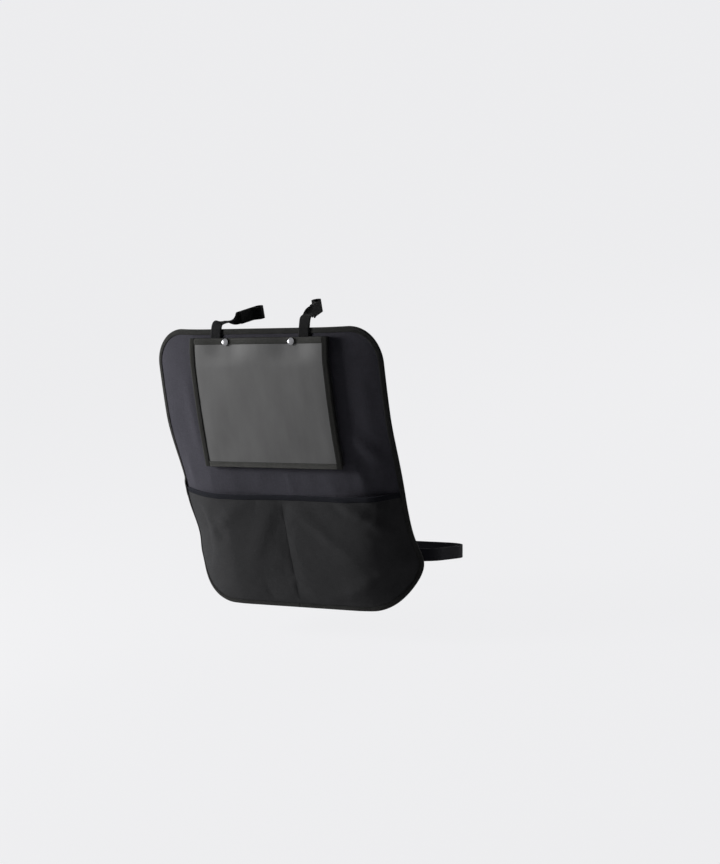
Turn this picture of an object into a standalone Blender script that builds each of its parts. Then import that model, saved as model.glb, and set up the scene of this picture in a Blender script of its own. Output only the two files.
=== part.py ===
"""Car seat protector, drawn in the shape that it takes when it hangs in use.

A padded fabric mat with a taped edge carries a clear tablet pocket, closed by two snap fasteners, and a
pair of kick pockets. Two webbing straps end in loops that hook-and-loop patches close, and an elastic
girdle with a side release buckle comes forward from the mat's lower corners.

Each cloth piece is cut on a flat pattern, with u across, v up and rise out of the mat's front, and then
draped. In the finished part X is across, Y goes from the mat's front to its back and Z is up. The origin
is the middle of the mat's back face, on its flat patch.
"""

import math

import bmesh
import bpy
import numpy as np
from mathutils import Matrix, Vector

# Flat pattern of the mat, measured over its edge binding
MAT_WIDTH = 0.544
MAT_HEIGHT = 0.570
TOP_CORNER_RADIUS = 0.073
BOTTOM_CORNER_RADIUS = 0.105
PANEL_THICKNESS = 0.0025

# Woven tape that binds the edges, and the clearances between sewn layers
TAPE_THICKNESS = 0.0008
EDGE_TAPE_WIDTH = 0.010
LAYER_GAP = 0.0005
FOLD_GAP = 0.0003

# Shape that the mat is draped to
FLAT_HALF_WIDTH = 0.127
FLAT_HALF_HEIGHT = 0.060
UPPER_LEAN = 0.0145
LOWER_LEAN = 0.0085
TOP_ROLL_LENGTH = 0.070
TOP_ROLL_ANGLE = math.radians(19)
TOP_WRAP = math.radians(18.5)
SHOULDER_WRAP = math.radians(19)
WAIST_WRAP = math.radians(34)
GIRDLE_WRAP = math.radians(51)
FOOT_WRAP = math.radians(30)
SHOULDER_HEIGHT = 0.115
WAIST_HEIGHT = -0.058
GIRDLE_HEIGHT = -0.203
GIRDLE_PULL = 0.016
GIRDLE_PULL_SPREAD = 0.045

# Tablet pocket: the clear opening of its window, and the tapes round it
WINDOW_WIDTH = 0.306
WINDOW_HEIGHT = 0.234
WINDOW_FOOT = 0.023
WINDOW_HEM = 0.0105
WINDOW_SIDE_TAPE = 0.011
WINDOW_FOOT_TAPE = 0.010
FILM_THICKNESS = 0.0005
GUSSET_DEPTH = 0.009
GUSSET_THICKNESS = 0.0008
GUSSET_INSET = 0.0015
GUSSET_CORNER_RADIUS = 0.006

# Snap fasteners that close the tablet pocket's mouth
SNAP_SPACING = 0.158
SNAP_DROP = 0.0075
SNAP_CAP_RADIUS = 0.0075
SNAP_CAP_HEIGHT = 0.0028
SNAP_FLANGE_RADIUS = 0.005
SNAP_FLANGE_THICKNESS = 0.0007
SNAP_BALL_RADIUS = 0.0028
SNAP_BALL_HEIGHT = 0.0026
SNAP_RIVET_RADIUS = 0.00155
SNAP_RUNNING_GAP = 0.00035
SNAP_DIMPLE_SPREAD = 0.028
SNAP_DIMPLE_LENGTH = 0.070

# Kick pockets, one cloth with a seam down its middle
POCKET_TOP = -0.046
POCKET_THICKNESS = 0.0010
POCKET_TAPE_WIDTH = 0.008
POCKET_SLACK = 0.0072
POCKET_FLAT_SEAM = 0.120

# Webbing straps from the mat's top edge
STRAP_WIDTH = 0.025
STRAP_THICKNESS = 0.0015
STRAP_SPACING = 0.211
STRAP_SEWN_LENGTH = 0.019
LEFT_SHOULDER_RISE = 0.009
RIGHT_SHOULDER_RISE = 0.019
SHOULDER_REACH = 0.032
STRAP_LEAN = math.radians(14)
TWIST_LENGTH = 0.028
FASTENED_LENGTH = 0.030
EYE_NECK = 0.017
POST_CLEAR_RADIUS = 0.008
PATCH_THICKNESS = 0.0012
PATCH_LENGTH = 0.027
PATCH_MARGIN = 0.0005

# Elastic girdle from the mat's lower corners
ELASTIC_WIDTH = 0.025
ELASTIC_THICKNESS = 0.0015
ELASTIC_SEWN_LENGTH = 0.036
ELASTIC_HEIGHT = -0.183
GIRDLE_SLOPE = math.radians(16)
GIRDLE_DEPTH = 0.182
GIRDLE_FLARE = 0.018
GIRDLE_SIDE_RADIUS = 0.060
GIRDLE_FRONT_RADIUS = 0.075
ELASTIC_TAIL = 0.040
ELASTIC_LAP = 0.025

# Side release buckle in the middle of the girdle's front
BUCKLE_WIDTH = 0.033
HOUSING_LENGTH = 0.0315
HOUSING_THICKNESS = 0.0100
HOUSING_WALL = 0.0032
CAVITY_DEPTH = 0.0215
PRONG_THICKNESS = 0.0046
PRONG_GAP = 0.0003
PRONG_REACH = 0.0200
BARB_START = 0.0108
BARB_STAND = 0.0020
PLUG_LENGTH = 0.0220
PLUG_THICKNESS = 0.0050
WEB_SLOT = 0.0038
WEB_BAR = 0.0043
WEB_BEND = 0.0016
SLOT_MARGIN = 0.0008

# Facet sizes
FLANK_STEP = 0.0185
MIDDLE_STEP = 0.045
FINE_STEP = 0.0255
ROW_STEP = 0.024
LOW_ROW_STEP = 0.019
ARC_STEP = math.radians(9.0)
TURN_STEP = math.radians(22.5)
TURN_SEGMENTS = 16

HALF_WIDTH = MAT_WIDTH / 2
HALF_HEIGHT = MAT_HEIGHT / 2
PANEL_INSET = TAPE_THICKNESS + LAYER_GAP
WINDOW_TOP = WINDOW_FOOT + WINDOW_HEIGHT
POCKET_RISE = PANEL_THICKNESS + LAYER_GAP + TAPE_THICKNESS + FOLD_GAP
BACK_TAPE_RISE = -LAYER_GAP - TAPE_THICKNESS
OVER_PANEL_RISE = PANEL_THICKNESS + LAYER_GAP
OVER_POCKET_RISE = POCKET_RISE + POCKET_THICKNESS + LAYER_GAP
OVER_POCKET_TAPE_RISE = POCKET_RISE + POCKET_THICKNESS + FOLD_GAP + TAPE_THICKNESS + LAYER_GAP
SNAP_STACK = LAYER_GAP + SNAP_FLANGE_THICKNESS + SNAP_BALL_HEIGHT
SNAP_HEIGHT = WINDOW_TOP + WINDOW_HEM - SNAP_DROP


def clear_scene():
    for old in list(bpy.data.objects):
        bpy.data.objects.remove(old)


def finish(name, red, green, blue, roughness, metallic=0.0, alpha=1.0):
    """One Principled material."""
    material = bpy.data.materials.new(name)
    material.use_nodes = True
    surface = material.node_tree.nodes["Principled BSDF"]
    surface.inputs["Base Color"].default_value = (red, green, blue, 1.0)
    surface.inputs["Roughness"].default_value = roughness
    surface.inputs["Metallic"].default_value = metallic
    surface.inputs["Alpha"].default_value = alpha
    return material


def place(name, mesh, material, matrix=None, smooth=True):
    """Makes an object of a bmesh, with its faces pointing outwards."""
    bmesh.ops.recalc_face_normals(mesh, faces=mesh.faces)
    data = bpy.data.meshes.new(name)
    mesh.to_mesh(data)
    mesh.free()
    piece = bpy.data.objects.new(name, data)
    bpy.context.scene.collection.objects.link(piece)
    if material:
        data.materials.append(material)
    if matrix:
        piece.matrix_world = matrix
    if smooth:
        data.shade_smooth()
        data.set_sharp_from_angle(angle=math.radians(35))
    return piece


def cut(piece, name, cutter_mesh, matrix=None):
    """Takes the cutter's shape out of the piece."""
    cutter = place(name, cutter_mesh, None, matrix, smooth=False)
    cutter.hide_render = True
    cutter.display_type = "WIRE"
    boolean = piece.modifiers.new(name, "BOOLEAN")
    boolean.operation = "DIFFERENCE"
    boolean.solver = "EXACT"
    boolean.object = cutter


def steps(start, end, longest):
    """Evenly spaced places from start to end, no further apart than longest."""
    count = max(1, math.ceil(abs(end - start) / longest - 1e-6))
    return [start + (end - start) * i / count for i in range(count + 1)]


def merged(*runs):
    """The places of several runs in order, without repeats."""
    return sorted({round(value, 7) for run in runs for value in run})


def smooth_step(t):
    t = np.clip(t, 0.0, 1.0)
    return t * t * (3 - 2 * t)


# The draped mat: where a point of the flat pattern lies when the mat hangs in use


def wrap_angle(v):
    """How far the mat's flank has turned forward at its edge, at height v."""
    levels = (
        (-HALF_HEIGHT, FOOT_WRAP),
        (GIRDLE_HEIGHT, GIRDLE_WRAP),
        (WAIST_HEIGHT, WAIST_WRAP),
        (SHOULDER_HEIGHT, SHOULDER_WRAP),
        (HALF_HEIGHT, TOP_WRAP),
    )
    angle = levels[0][1]
    for (low, before), (high, after) in zip(levels, levels[1:]):
        angle = angle + (after - before) * smooth_step((v - low) / (high - low))
    return angle


def draped_surface(u, v):
    """The back face of the draped mat."""
    flank_width = HALF_WIDTH - FLAT_HALF_WIDTH
    across = np.abs(u)
    side = np.maximum(across - FLAT_HALF_WIDTH, 0.0)
    radius = flank_width / wrap_angle(v)
    pull = GIRDLE_PULL * np.exp(-(((v - GIRDLE_HEIGHT) / GIRDLE_PULL_SPREAD) ** 2))
    x = np.minimum(across, FLAT_HALF_WIDTH) + radius * np.sin(side / radius) + pull * side / flank_width
    lean_height = HALF_HEIGHT - FLAT_HALF_HEIGHT
    upper = np.maximum(v - FLAT_HALF_HEIGHT, 0.0) / lean_height
    lower = np.maximum(-v - FLAT_HALF_HEIGHT, 0.0) / lean_height
    roll = np.maximum(v - HALF_HEIGHT + TOP_ROLL_LENGTH, 0.0)
    y = radius * (1 - np.cos(side / radius))
    y = y + UPPER_LEAN * upper**2 + LOWER_LEAN * lower**2
    y = y + TOP_ROLL_ANGLE * roll**2 / (2 * TOP_ROLL_LENGTH)
    return np.stack([np.sign(u) * x, y, v + 0 * u], axis=-1)


def draped_frame(u, v):
    """The place on the back face, the directions across and up it, and the one out of it."""
    small = 1e-5
    middle = draped_surface(u, v)
    across = draped_surface(u + small, v) - draped_surface(u - small, v)
    upward = draped_surface(u, v + small) - draped_surface(u, v - small)
    outward = np.cross(across, upward)

    def unit(vectors):
        return vectors / np.linalg.norm(vectors, axis=-1, keepdims=True)

    return middle, unit(across), unit(upward), unit(outward)


def draped_point(u, v, rise):
    middle, _, _, outward = draped_frame(np.array(float(u)), np.array(float(v)))
    return Vector(middle + outward * rise)


def draped_matrix(u, v):
    """A frame on the mat's back face whose Z points out of it."""
    middle, across, _, outward = draped_frame(np.array(float(u)), np.array(float(v)))
    upward = np.cross(outward, across)
    matrix = Matrix((across, upward, outward)).transposed().to_4x4()
    matrix.translation = Vector(middle)
    return matrix


def drape(mesh, lift=None):
    """Carries a bmesh from the flat pattern onto the draped mat, raised by lift where one is given."""
    flat = np.array([vertex.co for vertex in mesh.verts])
    rise = flat[:, 2]
    if lift:
        rise = rise + lift(flat[:, 0], flat[:, 1])
    middle, _, _, outward = draped_frame(flat[:, 0], flat[:, 1])
    for vertex, point in zip(mesh.verts, middle + outward * rise[:, None]):
        vertex.co = point
    bmesh.ops.triangulate(mesh, faces=mesh.faces, quad_method="SHORT_EDGE")
    return mesh


# Cloth, tape and webbing


def slab(outline, low, high, columns=(), rows=()):
    """A flat sheet between two rises, creased along columns and rows so that it can bend."""
    mesh = bmesh.new()
    face = mesh.faces.new([mesh.verts.new((u, v, low)) for u, v in outline])
    raised = bmesh.ops.extrude_face_region(mesh, geom=[face])["geom"]
    upper = [part for part in raised if isinstance(part, bmesh.types.BMVert)]
    bmesh.ops.translate(mesh, verts=upper, vec=(0, 0, high - low))
    for normal, places in (((1, 0, 0), columns), ((0, 1, 0), rows)):
        for distance in places:
            everything = mesh.verts[:] + mesh.edges[:] + mesh.faces[:]
            line = Vector(normal) * distance
            bmesh.ops.bisect_plane(mesh, geom=everything, plane_co=line, plane_no=normal, dist=1e-6)
    return mesh


def swept(sections, closed=False):
    """Joins rings of points, one after another, into one skin."""
    mesh = bmesh.new()
    rings = [[mesh.verts.new(point) for point in section] for section in sections]
    following = rings[1:] + rings[:1] if closed else rings[1:]
    for ring, after in zip(rings, following):
        for near, far, far_after, near_after in zip(ring, ring[1:] + ring[:1], after[1:] + after[:1], after):
            mesh.faces.new((near, far, far_after, near_after))
    if not closed:
        for ring in (rings[0], rings[-1]):
            for i in range(len(ring) // 2 - 1):
                mesh.faces.new((ring[i], ring[i + 1], ring[-2 - i], ring[-1 - i]))
    return mesh


def fold_section(width, inner_low, inner_high, thickness=TAPE_THICKNESS):
    """A tape folded over an edge: (inset, rise) points, with the fold at inset 0 and rounded outside."""
    low = inner_low - thickness
    high = inner_high + thickness
    turn = min(0.8 * thickness + 0.1 * (high - low), 0.4 * (high - low))
    return [
        (width, inner_low),
        (thickness, inner_low),
        (thickness, inner_high),
        (width, inner_high),
        (width, high),
        (turn, high),
        (0.0, high - turn),
        (0.0, low + turn),
        (turn, low),
        (width, low),
    ]


def ribbon(centres, faces, width, thickness, lanes=1):
    """A flat band along centres, whose broad side faces along faces."""
    centres = np.array([tuple(point) for point in centres])
    faces = np.array([tuple(normal) for normal in faces])
    runs = np.diff(centres, axis=0)
    runs /= np.linalg.norm(runs, axis=1, keepdims=True)
    along = np.concatenate([runs[:1], runs]) + np.concatenate([runs, runs[-1:]])
    # Where two runs meet, the section widens by their mitre, so that the band keeps its thickness
    mitre = 2 / np.linalg.norm(along, axis=1, keepdims=True)
    along /= np.linalg.norm(along, axis=1, keepdims=True)
    faces -= along * np.sum(faces * along, axis=1, keepdims=True)
    faces /= np.linalg.norm(faces, axis=1, keepdims=True)
    across = np.cross(faces, along) * width / 2
    outward = faces * mitre * thickness / 2
    mesh = bmesh.new()
    sides = []
    for side in (-1, 1):
        rows = [centres + side * outward + across * (2 * lane / lanes - 1) for lane in range(lanes + 1)]
        sides.append([[mesh.verts.new(point) for point in row] for row in zip(*rows)])
    for grid in sides:
        for row, after in zip(grid, grid[1:]):
            for lane in range(lanes):
                mesh.faces.new((row[lane], row[lane + 1], after[lane + 1]))
                mesh.faces.new((row[lane], after[lane + 1], after[lane]))
    below, above = sides
    for lane in (0, lanes):
        for i in range(len(centres) - 1):
            mesh.faces.new((below[i][lane], below[i + 1][lane], above[i + 1][lane], above[i][lane]))
    for i in (0, -1):
        mesh.faces.new(below[i] + above[i][::-1])
    return mesh


def rounded_route(corners):
    """A plane route through (x, y, radius) corners, each rounded by its radius."""
    points = [Vector(corners[0][:2])]
    for before, corner, after in zip(corners, corners[1:], corners[2:]):
        middle = Vector(corner[:2])
        arriving = (middle - Vector(before[:2])).normalized()
        leaving = (Vector(after[:2]) - middle).normalized()
        turn = arriving.angle_signed(leaving)
        radius = corner[2]
        trim = radius * math.tan(abs(turn) / 2)
        start = middle - arriving * trim
        side = Vector((-arriving.y, arriving.x)) * (-1 if turn > 0 else 1)
        hub = start + side * radius
        count = max(2, math.ceil(abs(turn) / TURN_STEP - 1e-6))
        for i in range(count + 1):
            spoke = (start - hub).copy()
            spoke.rotate(Matrix.Rotation(-turn * i / count, 2))
            points.append(hub + spoke)
    points.append(Vector(corners[-1][:2]))
    return [point for i, point in enumerate(points) if i == 0 or (point - points[i - 1]).length > 1e-6]


def turned(profile, segments=TURN_SEGMENTS):
    """A closed (radius, height) profile turned about Z."""
    mesh = bmesh.new()
    ring = [mesh.verts.new((radius, 0, height)) for radius, height in profile]
    edges = [mesh.edges.new(pair) for pair in zip(ring, ring[1:] + ring[:1])]
    bmesh.ops.spin(
        mesh,
        geom=ring + edges,
        cent=(0, 0, 0),
        axis=(0, 0, 1),
        angle=2 * math.pi,
        steps=segments,
        use_merge=True,
    )
    bmesh.ops.remove_doubles(mesh, verts=mesh.verts, dist=1e-6)
    return mesh


def rod(radius, low, high, segments=TURN_SEGMENTS):
    mesh = bmesh.new()
    matrix = Matrix.Translation((0, 0, (low + high) / 2))
    bmesh.ops.create_cone(
        mesh,
        cap_ends=True,
        segments=segments,
        radius1=radius,
        radius2=radius,
        depth=high - low,
        matrix=matrix,
    )
    return mesh


def block(low, high):
    mesh = bmesh.new()
    size = Vector(high) - Vector(low)
    matrix = Matrix.Translation((Vector(high) + Vector(low)) / 2) @ Matrix.Diagonal(size).to_4x4()
    bmesh.ops.create_cube(mesh, size=1.0, matrix=matrix)
    return mesh


# Places where the cloth is creased, shared by the layers that lie on each other

COLUMNS = merged(
    steps(-HALF_WIDTH, -FLAT_HALF_WIDTH, FLANK_STEP),
    steps(-FLAT_HALF_WIDTH, FLAT_HALF_WIDTH, MIDDLE_STEP),
    steps(FLAT_HALF_WIDTH, HALF_WIDTH, FLANK_STEP),
)
FINE_COLUMNS = merged(COLUMNS, steps(-FLAT_HALF_WIDTH, FLAT_HALF_WIDTH, FINE_STEP))
WINDOW_COLUMNS = merged(
    [u for u in COLUMNS if abs(u) > FLAT_HALF_WIDTH - 0.001],
    [-WINDOW_WIDTH / 2, 0.0, WINDOW_WIDTH / 2],
    [side * (SNAP_SPACING / 2 + away) for side in (-1, 1) for away in (-0.036, -0.010, 0.010, 0.036)],
)
ROWS = merged(
    steps(-HALF_HEIGHT, -FLAT_HALF_HEIGHT, LOW_ROW_STEP),
    steps(-FLAT_HALF_HEIGHT, FLAT_HALF_HEIGHT, ROW_STEP),
    steps(FLAT_HALF_HEIGHT, HALF_HEIGHT, ROW_STEP),
)


def between(places, low, high):
    return [place for place in places if low + 1e-4 < place < high - 1e-4]


def corner_turns(radius, first, hub):
    """The places round a corner, in radians, where a column or a row meets it, with some between."""
    turns = {0.0, math.pi / 2}
    for places, middle, wave in ((COLUMNS, hub[0], math.cos), (ROWS, hub[1], math.sin)):
        for turn in steps(0, math.pi / 2, math.radians(0.05)):
            here = middle + radius * wave(first + turn)
            there = middle + radius * wave(first + turn + math.radians(0.05))
            if any(min(here, there) <= place < max(here, there) for place in places):
                turns.add(turn)
    kept = [0.0]
    for turn in sorted(turns):
        if turn - kept[-1] > ARC_STEP / 3 and (math.pi / 2 - turn > ARC_STEP / 3 or turn == math.pi / 2):
            kept.append(turn)
    return merged(*(steps(a, b, 1.5 * ARC_STEP) for a, b in zip(kept, kept[1:])))


def edge_stations(rows):
    """Points round the mat's outline, anticlockwise, each with the direction in from the edge."""
    low = BOTTOM_CORNER_RADIUS - HALF_HEIGHT
    high = HALF_HEIGHT - TOP_CORNER_RADIUS
    foot = HALF_WIDTH - BOTTOM_CORNER_RADIUS
    head = HALF_WIDTH - TOP_CORNER_RADIUS

    def corner(hub, radius, first):
        turns = [first + turn for turn in corner_turns(radius, first, hub)]
        outs = [(math.cos(turn), math.sin(turn)) for turn in turns]
        return [(hub[0] + radius * out[0], hub[1] + radius * out[1], -out[0], -out[1]) for out in outs]

    return (
        corner((foot, low), BOTTOM_CORNER_RADIUS, -math.pi / 2)
        + [(HALF_WIDTH, v, -1, 0) for v in between(rows, low, high)]
        + corner((head, high), TOP_CORNER_RADIUS, 0.0)
        + [(u, HALF_HEIGHT, 0, -1) for u in between(COLUMNS, -head, head)[::-1]]
        + corner((-head, high), TOP_CORNER_RADIUS, math.pi / 2)
        + [(-HALF_WIDTH, v, 1, 0) for v in between(rows, low, high)[::-1]]
        + corner((-foot, low), BOTTOM_CORNER_RADIUS, math.pi)
        + [(u, -HALF_HEIGHT, 0, 1) for u in between(COLUMNS, -foot, foot)]
    )


def edge_outline(inset):
    return [(u + inset * in_u, v + inset * in_v) for u, v, in_u, in_v in edge_stations(ROWS)]


# The mat


def binding_rise(v):
    """How high the edge binding's front leg stands, where it climbs over the kick pocket and its tape."""
    over_pocket = smooth_step((POCKET_TOP + 0.020 - v) / 0.014)
    below_tape = smooth_step((POCKET_TOP - POCKET_TAPE_WIDTH - 0.004 - v) / 0.014)
    rise = OVER_PANEL_RISE + (OVER_POCKET_TAPE_RISE - OVER_PANEL_RISE) * over_pocket
    return rise - (OVER_POCKET_TAPE_RISE - OVER_POCKET_RISE) * below_tape


def make_mat(cloth, tape):
    panel = drape(slab(edge_outline(PANEL_INSET), 0.0, PANEL_THICKNESS, COLUMNS[1:-1], ROWS[1:-1]))
    panel = place("back_panel", panel, cloth)
    for side in (-1, 1):
        hole = rod(SNAP_RIVET_RADIUS + SNAP_RUNNING_GAP, -2 * PANEL_THICKNESS, 2 * PANEL_THICKNESS)
        matrix = draped_matrix(side * SNAP_SPACING / 2, SNAP_HEIGHT)
        cut(panel, f"panel_snap_hole_{side_name(side)}", hole, matrix)

    climbs = [POCKET_TOP + 0.020, POCKET_TOP + 0.013, POCKET_TOP + 0.006]
    falls = [POCKET_TOP - POCKET_TAPE_WIDTH - 0.004, POCKET_TOP - POCKET_TAPE_WIDTH - 0.018]
    sections = []
    for u, v, in_u, in_v in edge_stations(merged(ROWS, climbs, falls)):
        section = fold_section(EDGE_TAPE_WIDTH, -LAYER_GAP, binding_rise(v))
        sections.append([(u + inset * in_u, v + inset * in_v, rise) for inset, rise in section])
    place("edge_binding", drape(swept(sections, closed=True)), tape)


# Tablet pocket


def window_stand(u, v):
    """How far the tablet pocket's front stands off the mat: the gusset's depth, less at the snaps."""
    flat = SNAP_CAP_RADIUS + 0.003
    aside = np.abs(np.abs(u) - SNAP_SPACING / 2)
    across = np.maximum(aside - flat, 0.0) / SNAP_DIMPLE_SPREAD
    down = smooth_step((SNAP_HEIGHT - flat - v) / SNAP_DIMPLE_LENGTH)
    dimple = np.exp(-(across**2)) * (1 - down)
    return GUSSET_DEPTH - (GUSSET_DEPTH - SNAP_STACK) * dimple


def window_stack(layer):
    """The rise of a layer of the pocket's front over the mat's face, before window_stand is added."""
    inner_tape = PANEL_THICKNESS
    film = inner_tape + TAPE_THICKNESS + FOLD_GAP
    outer_tape = film + FILM_THICKNESS + FOLD_GAP
    return {"inner": inner_tape, "film": film, "outer": outer_tape}[layer]


def make_tablet_pocket(film, tape, lining):
    outer_half = WINDOW_WIDTH / 2 + WINDOW_SIDE_TAPE
    low = WINDOW_FOOT - WINDOW_FOOT_TAPE
    high = WINDOW_TOP + WINDOW_HEM
    columns = between(WINDOW_COLUMNS, -outer_half, outer_half)
    rows = merged(between(ROWS, low, high), [WINDOW_FOOT, SNAP_HEIGHT - 0.030, WINDOW_TOP])

    edge = TAPE_THICKNESS + FOLD_GAP
    corners = (
        (-outer_half + edge, low + edge),
        (outer_half - edge, low + edge),
        (outer_half - edge, high - edge),
        (-outer_half + edge, high - edge),
    )
    film_low = window_stack("film")
    clear = slab(corners, film_low, film_low + FILM_THICKNESS, columns, rows)
    clear = place("window_film", drape(clear, window_stand), film)

    inner_low = window_stack("inner") + TAPE_THICKNESS
    inner_high = window_stack("outer")

    def folded_tape(name, start, end, inward, width, stations):
        section = fold_section(width, inner_low, inner_high)
        rings = []
        for station in stations:
            base = start.lerp(end, station)
            rings.append([(*(base + inward * inset), rise) for inset, rise in section])
        return place(name, drape(swept(rings), window_stand), tape)

    def along(places, start, end):
        return [0.0] + [(place - start) / (end - start) for place in between(places, start, end)] + [1.0]

    reach = WINDOW_WIDTH / 2 - FOLD_GAP
    hem = folded_tape(
        "window_top_hem",
        Vector((-reach, high)),
        Vector((reach, high)),
        Vector((0, -1)),
        WINDOW_HEM,
        along(columns, -reach, reach),
    )
    folded_tape(
        "window_foot_binding",
        Vector((-reach, low)),
        Vector((reach, low)),
        Vector((0, 1)),
        WINDOW_FOOT_TAPE,
        along(columns, -reach, reach),
    )
    for side in (-1, 1):
        folded_tape(
            f"window_{side_name(side)}_binding",
            Vector((side * outer_half, low)),
            Vector((side * outer_half, high)),
            Vector((-side, 0)),
            WINDOW_SIDE_TAPE,
            along(rows, low, high),
        )

    wall_half = outer_half - GUSSET_INSET
    wall_low = low + GUSSET_INSET
    radius = GUSSET_CORNER_RADIUS
    span = wall_half - radius
    floor = wall_low + radius
    wall = [(-wall_half, v, 1, 0) for v in [high] + between(rows, floor, high)[::-1]]
    for turn in steps(0, math.pi / 2, TURN_STEP):
        out = (-math.cos(turn), -math.sin(turn))
        wall.append((-span + radius * out[0], floor + radius * out[1], -out[0], -out[1]))
    wall += [(u, wall_low, 0, 1) for u in between(columns, -span, span)]
    for turn in steps(0, math.pi / 2, TURN_STEP):
        out = (math.sin(turn), -math.cos(turn))
        wall.append((span + radius * out[0], floor + radius * out[1], -out[0], -out[1]))
    wall += [(wall_half, v, -1, 0) for v in between(rows, floor, high) + [high]]
    rings = []
    for u, v, in_u, in_v in wall:
        head = PANEL_THICKNESS + float(window_stand(u, v)) - FOLD_GAP
        foot = PANEL_THICKNESS + FOLD_GAP
        inner_u = u + GUSSET_THICKNESS * in_u
        inner_v = v + GUSSET_THICKNESS * in_v
        rings.append([(u, v, foot), (u, v, head), (inner_u, inner_v, head), (inner_u, inner_v, foot)])
    place("window_gusset", drape(swept(rings)), lining)
    return clear, hem


def make_snaps(clear, hem, nickel):
    """Each snap: a post behind the mat rivets the stud, and the cap outside rivets the socket."""
    bore = SNAP_RIVET_RADIUS + SNAP_RUNNING_GAP
    flange_low = PANEL_THICKNESS + LAYER_GAP
    flange_high = flange_low + SNAP_FLANGE_THICKNESS
    ball_high = flange_low + SNAP_BALL_HEIGHT
    front = PANEL_THICKNESS + SNAP_STACK
    socket_high = front - FOLD_GAP
    socket_low = flange_high + FOLD_GAP
    cap_low = window_stack("outer") + SNAP_STACK + TAPE_THICKNESS + LAYER_GAP
    rim = 0.0005
    for side in (-1, 1):
        matrix = draped_matrix(side * SNAP_SPACING / 2, SNAP_HEIGHT)
        name = side_name(side)
        for piece in (clear, hem):
            hole = rod(bore, front - PANEL_THICKNESS / 2, cap_low + PANEL_THICKNESS)
            cut(piece, f"{piece.name}_snap_hole_{name}", hole, matrix)

        post = [
            (0, -LAYER_GAP - SNAP_FLANGE_THICKNESS),
            (SNAP_FLANGE_RADIUS - rim, -LAYER_GAP - SNAP_FLANGE_THICKNESS),
            (SNAP_FLANGE_RADIUS, -LAYER_GAP - SNAP_FLANGE_THICKNESS / 2),
            (SNAP_FLANGE_RADIUS, -LAYER_GAP),
            (SNAP_RIVET_RADIUS, -LAYER_GAP),
            (SNAP_RIVET_RADIUS, flange_high),
            (0, flange_high),
        ]
        place(f"snap_post_{name}", turned(post), nickel, matrix)

        neck = bore + 0.0004
        stud = [
            (bore, flange_low),
            (SNAP_FLANGE_RADIUS, flange_low),
            (SNAP_FLANGE_RADIUS, flange_high),
            (neck, flange_high),
            (neck, flange_high + 0.25 * (ball_high - flange_high)),
            (SNAP_BALL_RADIUS, flange_high + 0.60 * (ball_high - flange_high)),
            (neck, ball_high),
            (bore, ball_high),
        ]
        place(f"snap_stud_{name}", turned(stud), nickel, matrix)

        catch = SNAP_BALL_RADIUS + FOLD_GAP
        roof = ball_high + FOLD_GAP
        socket = [
            (catch, socket_low),
            (SNAP_FLANGE_RADIUS - rim, socket_low),
            (SNAP_FLANGE_RADIUS, socket_low + rim),
            (SNAP_FLANGE_RADIUS, socket_high),
            (bore, socket_high),
            (bore, roof),
            (catch, roof),
        ]
        place(f"snap_socket_{name}", turned(socket), nickel, matrix)

        cap = [(0, roof), (SNAP_RIVET_RADIUS, roof), (SNAP_RIVET_RADIUS, cap_low)]
        cap += [(SNAP_CAP_RADIUS - rim, cap_low), (SNAP_CAP_RADIUS, cap_low + rim)]
        crown = SNAP_CAP_HEIGHT - 2 * rim
        for turn in steps(0, math.pi / 2, TURN_STEP)[1:]:
            radius = SNAP_CAP_RADIUS * math.cos(turn)
            cap.append((radius if turn < 1.5 else 0.0, cap_low + 2 * rim + crown * math.sin(turn)))
        place(f"snap_cap_{name}", turned(cap, TURN_SEGMENTS + 4), nickel, matrix)


# Kick pockets

# Folds in the pocket cloth: start and end on the pattern, height and width
POCKET_FOLDS = (
    ((-0.014, -0.074), (-0.125, -0.180), 0.0019, 0.018),
    ((-0.085, -0.062), (-0.205, -0.138), 0.0014, 0.015),
    ((0.020, -0.072), (0.145, -0.165), 0.0019, 0.018),
    ((0.136, -0.058), (0.228, -0.130), 0.0018, 0.012),
    ((0.175, -0.062), (0.245, -0.108), 0.0013, 0.012),
    ((0.135, -0.262), (0.262, -0.188), 0.0018, 0.016),
)


def edge_distance(u, v):
    """How far a point of the pattern lies in from the mat's edge, in its lower half."""
    hub = HALF_WIDTH - BOTTOM_CORNER_RADIUS
    past = np.abs(u) - hub
    under = BOTTOM_CORNER_RADIUS - HALF_HEIGHT - v
    corner = BOTTOM_CORNER_RADIUS - np.hypot(past, under)
    straight = np.minimum(HALF_WIDTH - np.abs(u), HALF_HEIGHT + v)
    return np.where((past > 0) & (under > 0), corner, straight)


def pocket_lift(u, v):
    """The slack of the two kick pockets, with their folds: none at the seams, most at the mouth."""
    depth = np.clip((POCKET_TOP - v) / (POCKET_TOP + HALF_HEIGHT), 0.0, 1.0)
    free_edge = smooth_step((edge_distance(u, v) - FLANK_STEP) / 0.060)
    lift = POCKET_SLACK * smooth_step(np.abs(u) / POCKET_FLAT_SEAM) * (1 - depth**2)
    for start, end, height, width in POCKET_FOLDS:
        run = np.subtract(end, start)
        length = np.hypot(*run)
        along = ((u - start[0]) * run[0] + (v - start[1]) * run[1]) / length**2
        aside = ((u - start[0]) * run[1] - (v - start[1]) * run[0]) / length
        fade = np.sin(math.pi * np.clip(along, 0, 1))
        ridge = np.exp(-((aside / width) ** 2))
        lift = lift + height * fade * ridge * smooth_step(np.abs(u) / 0.025)
    return lift * free_edge


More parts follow.
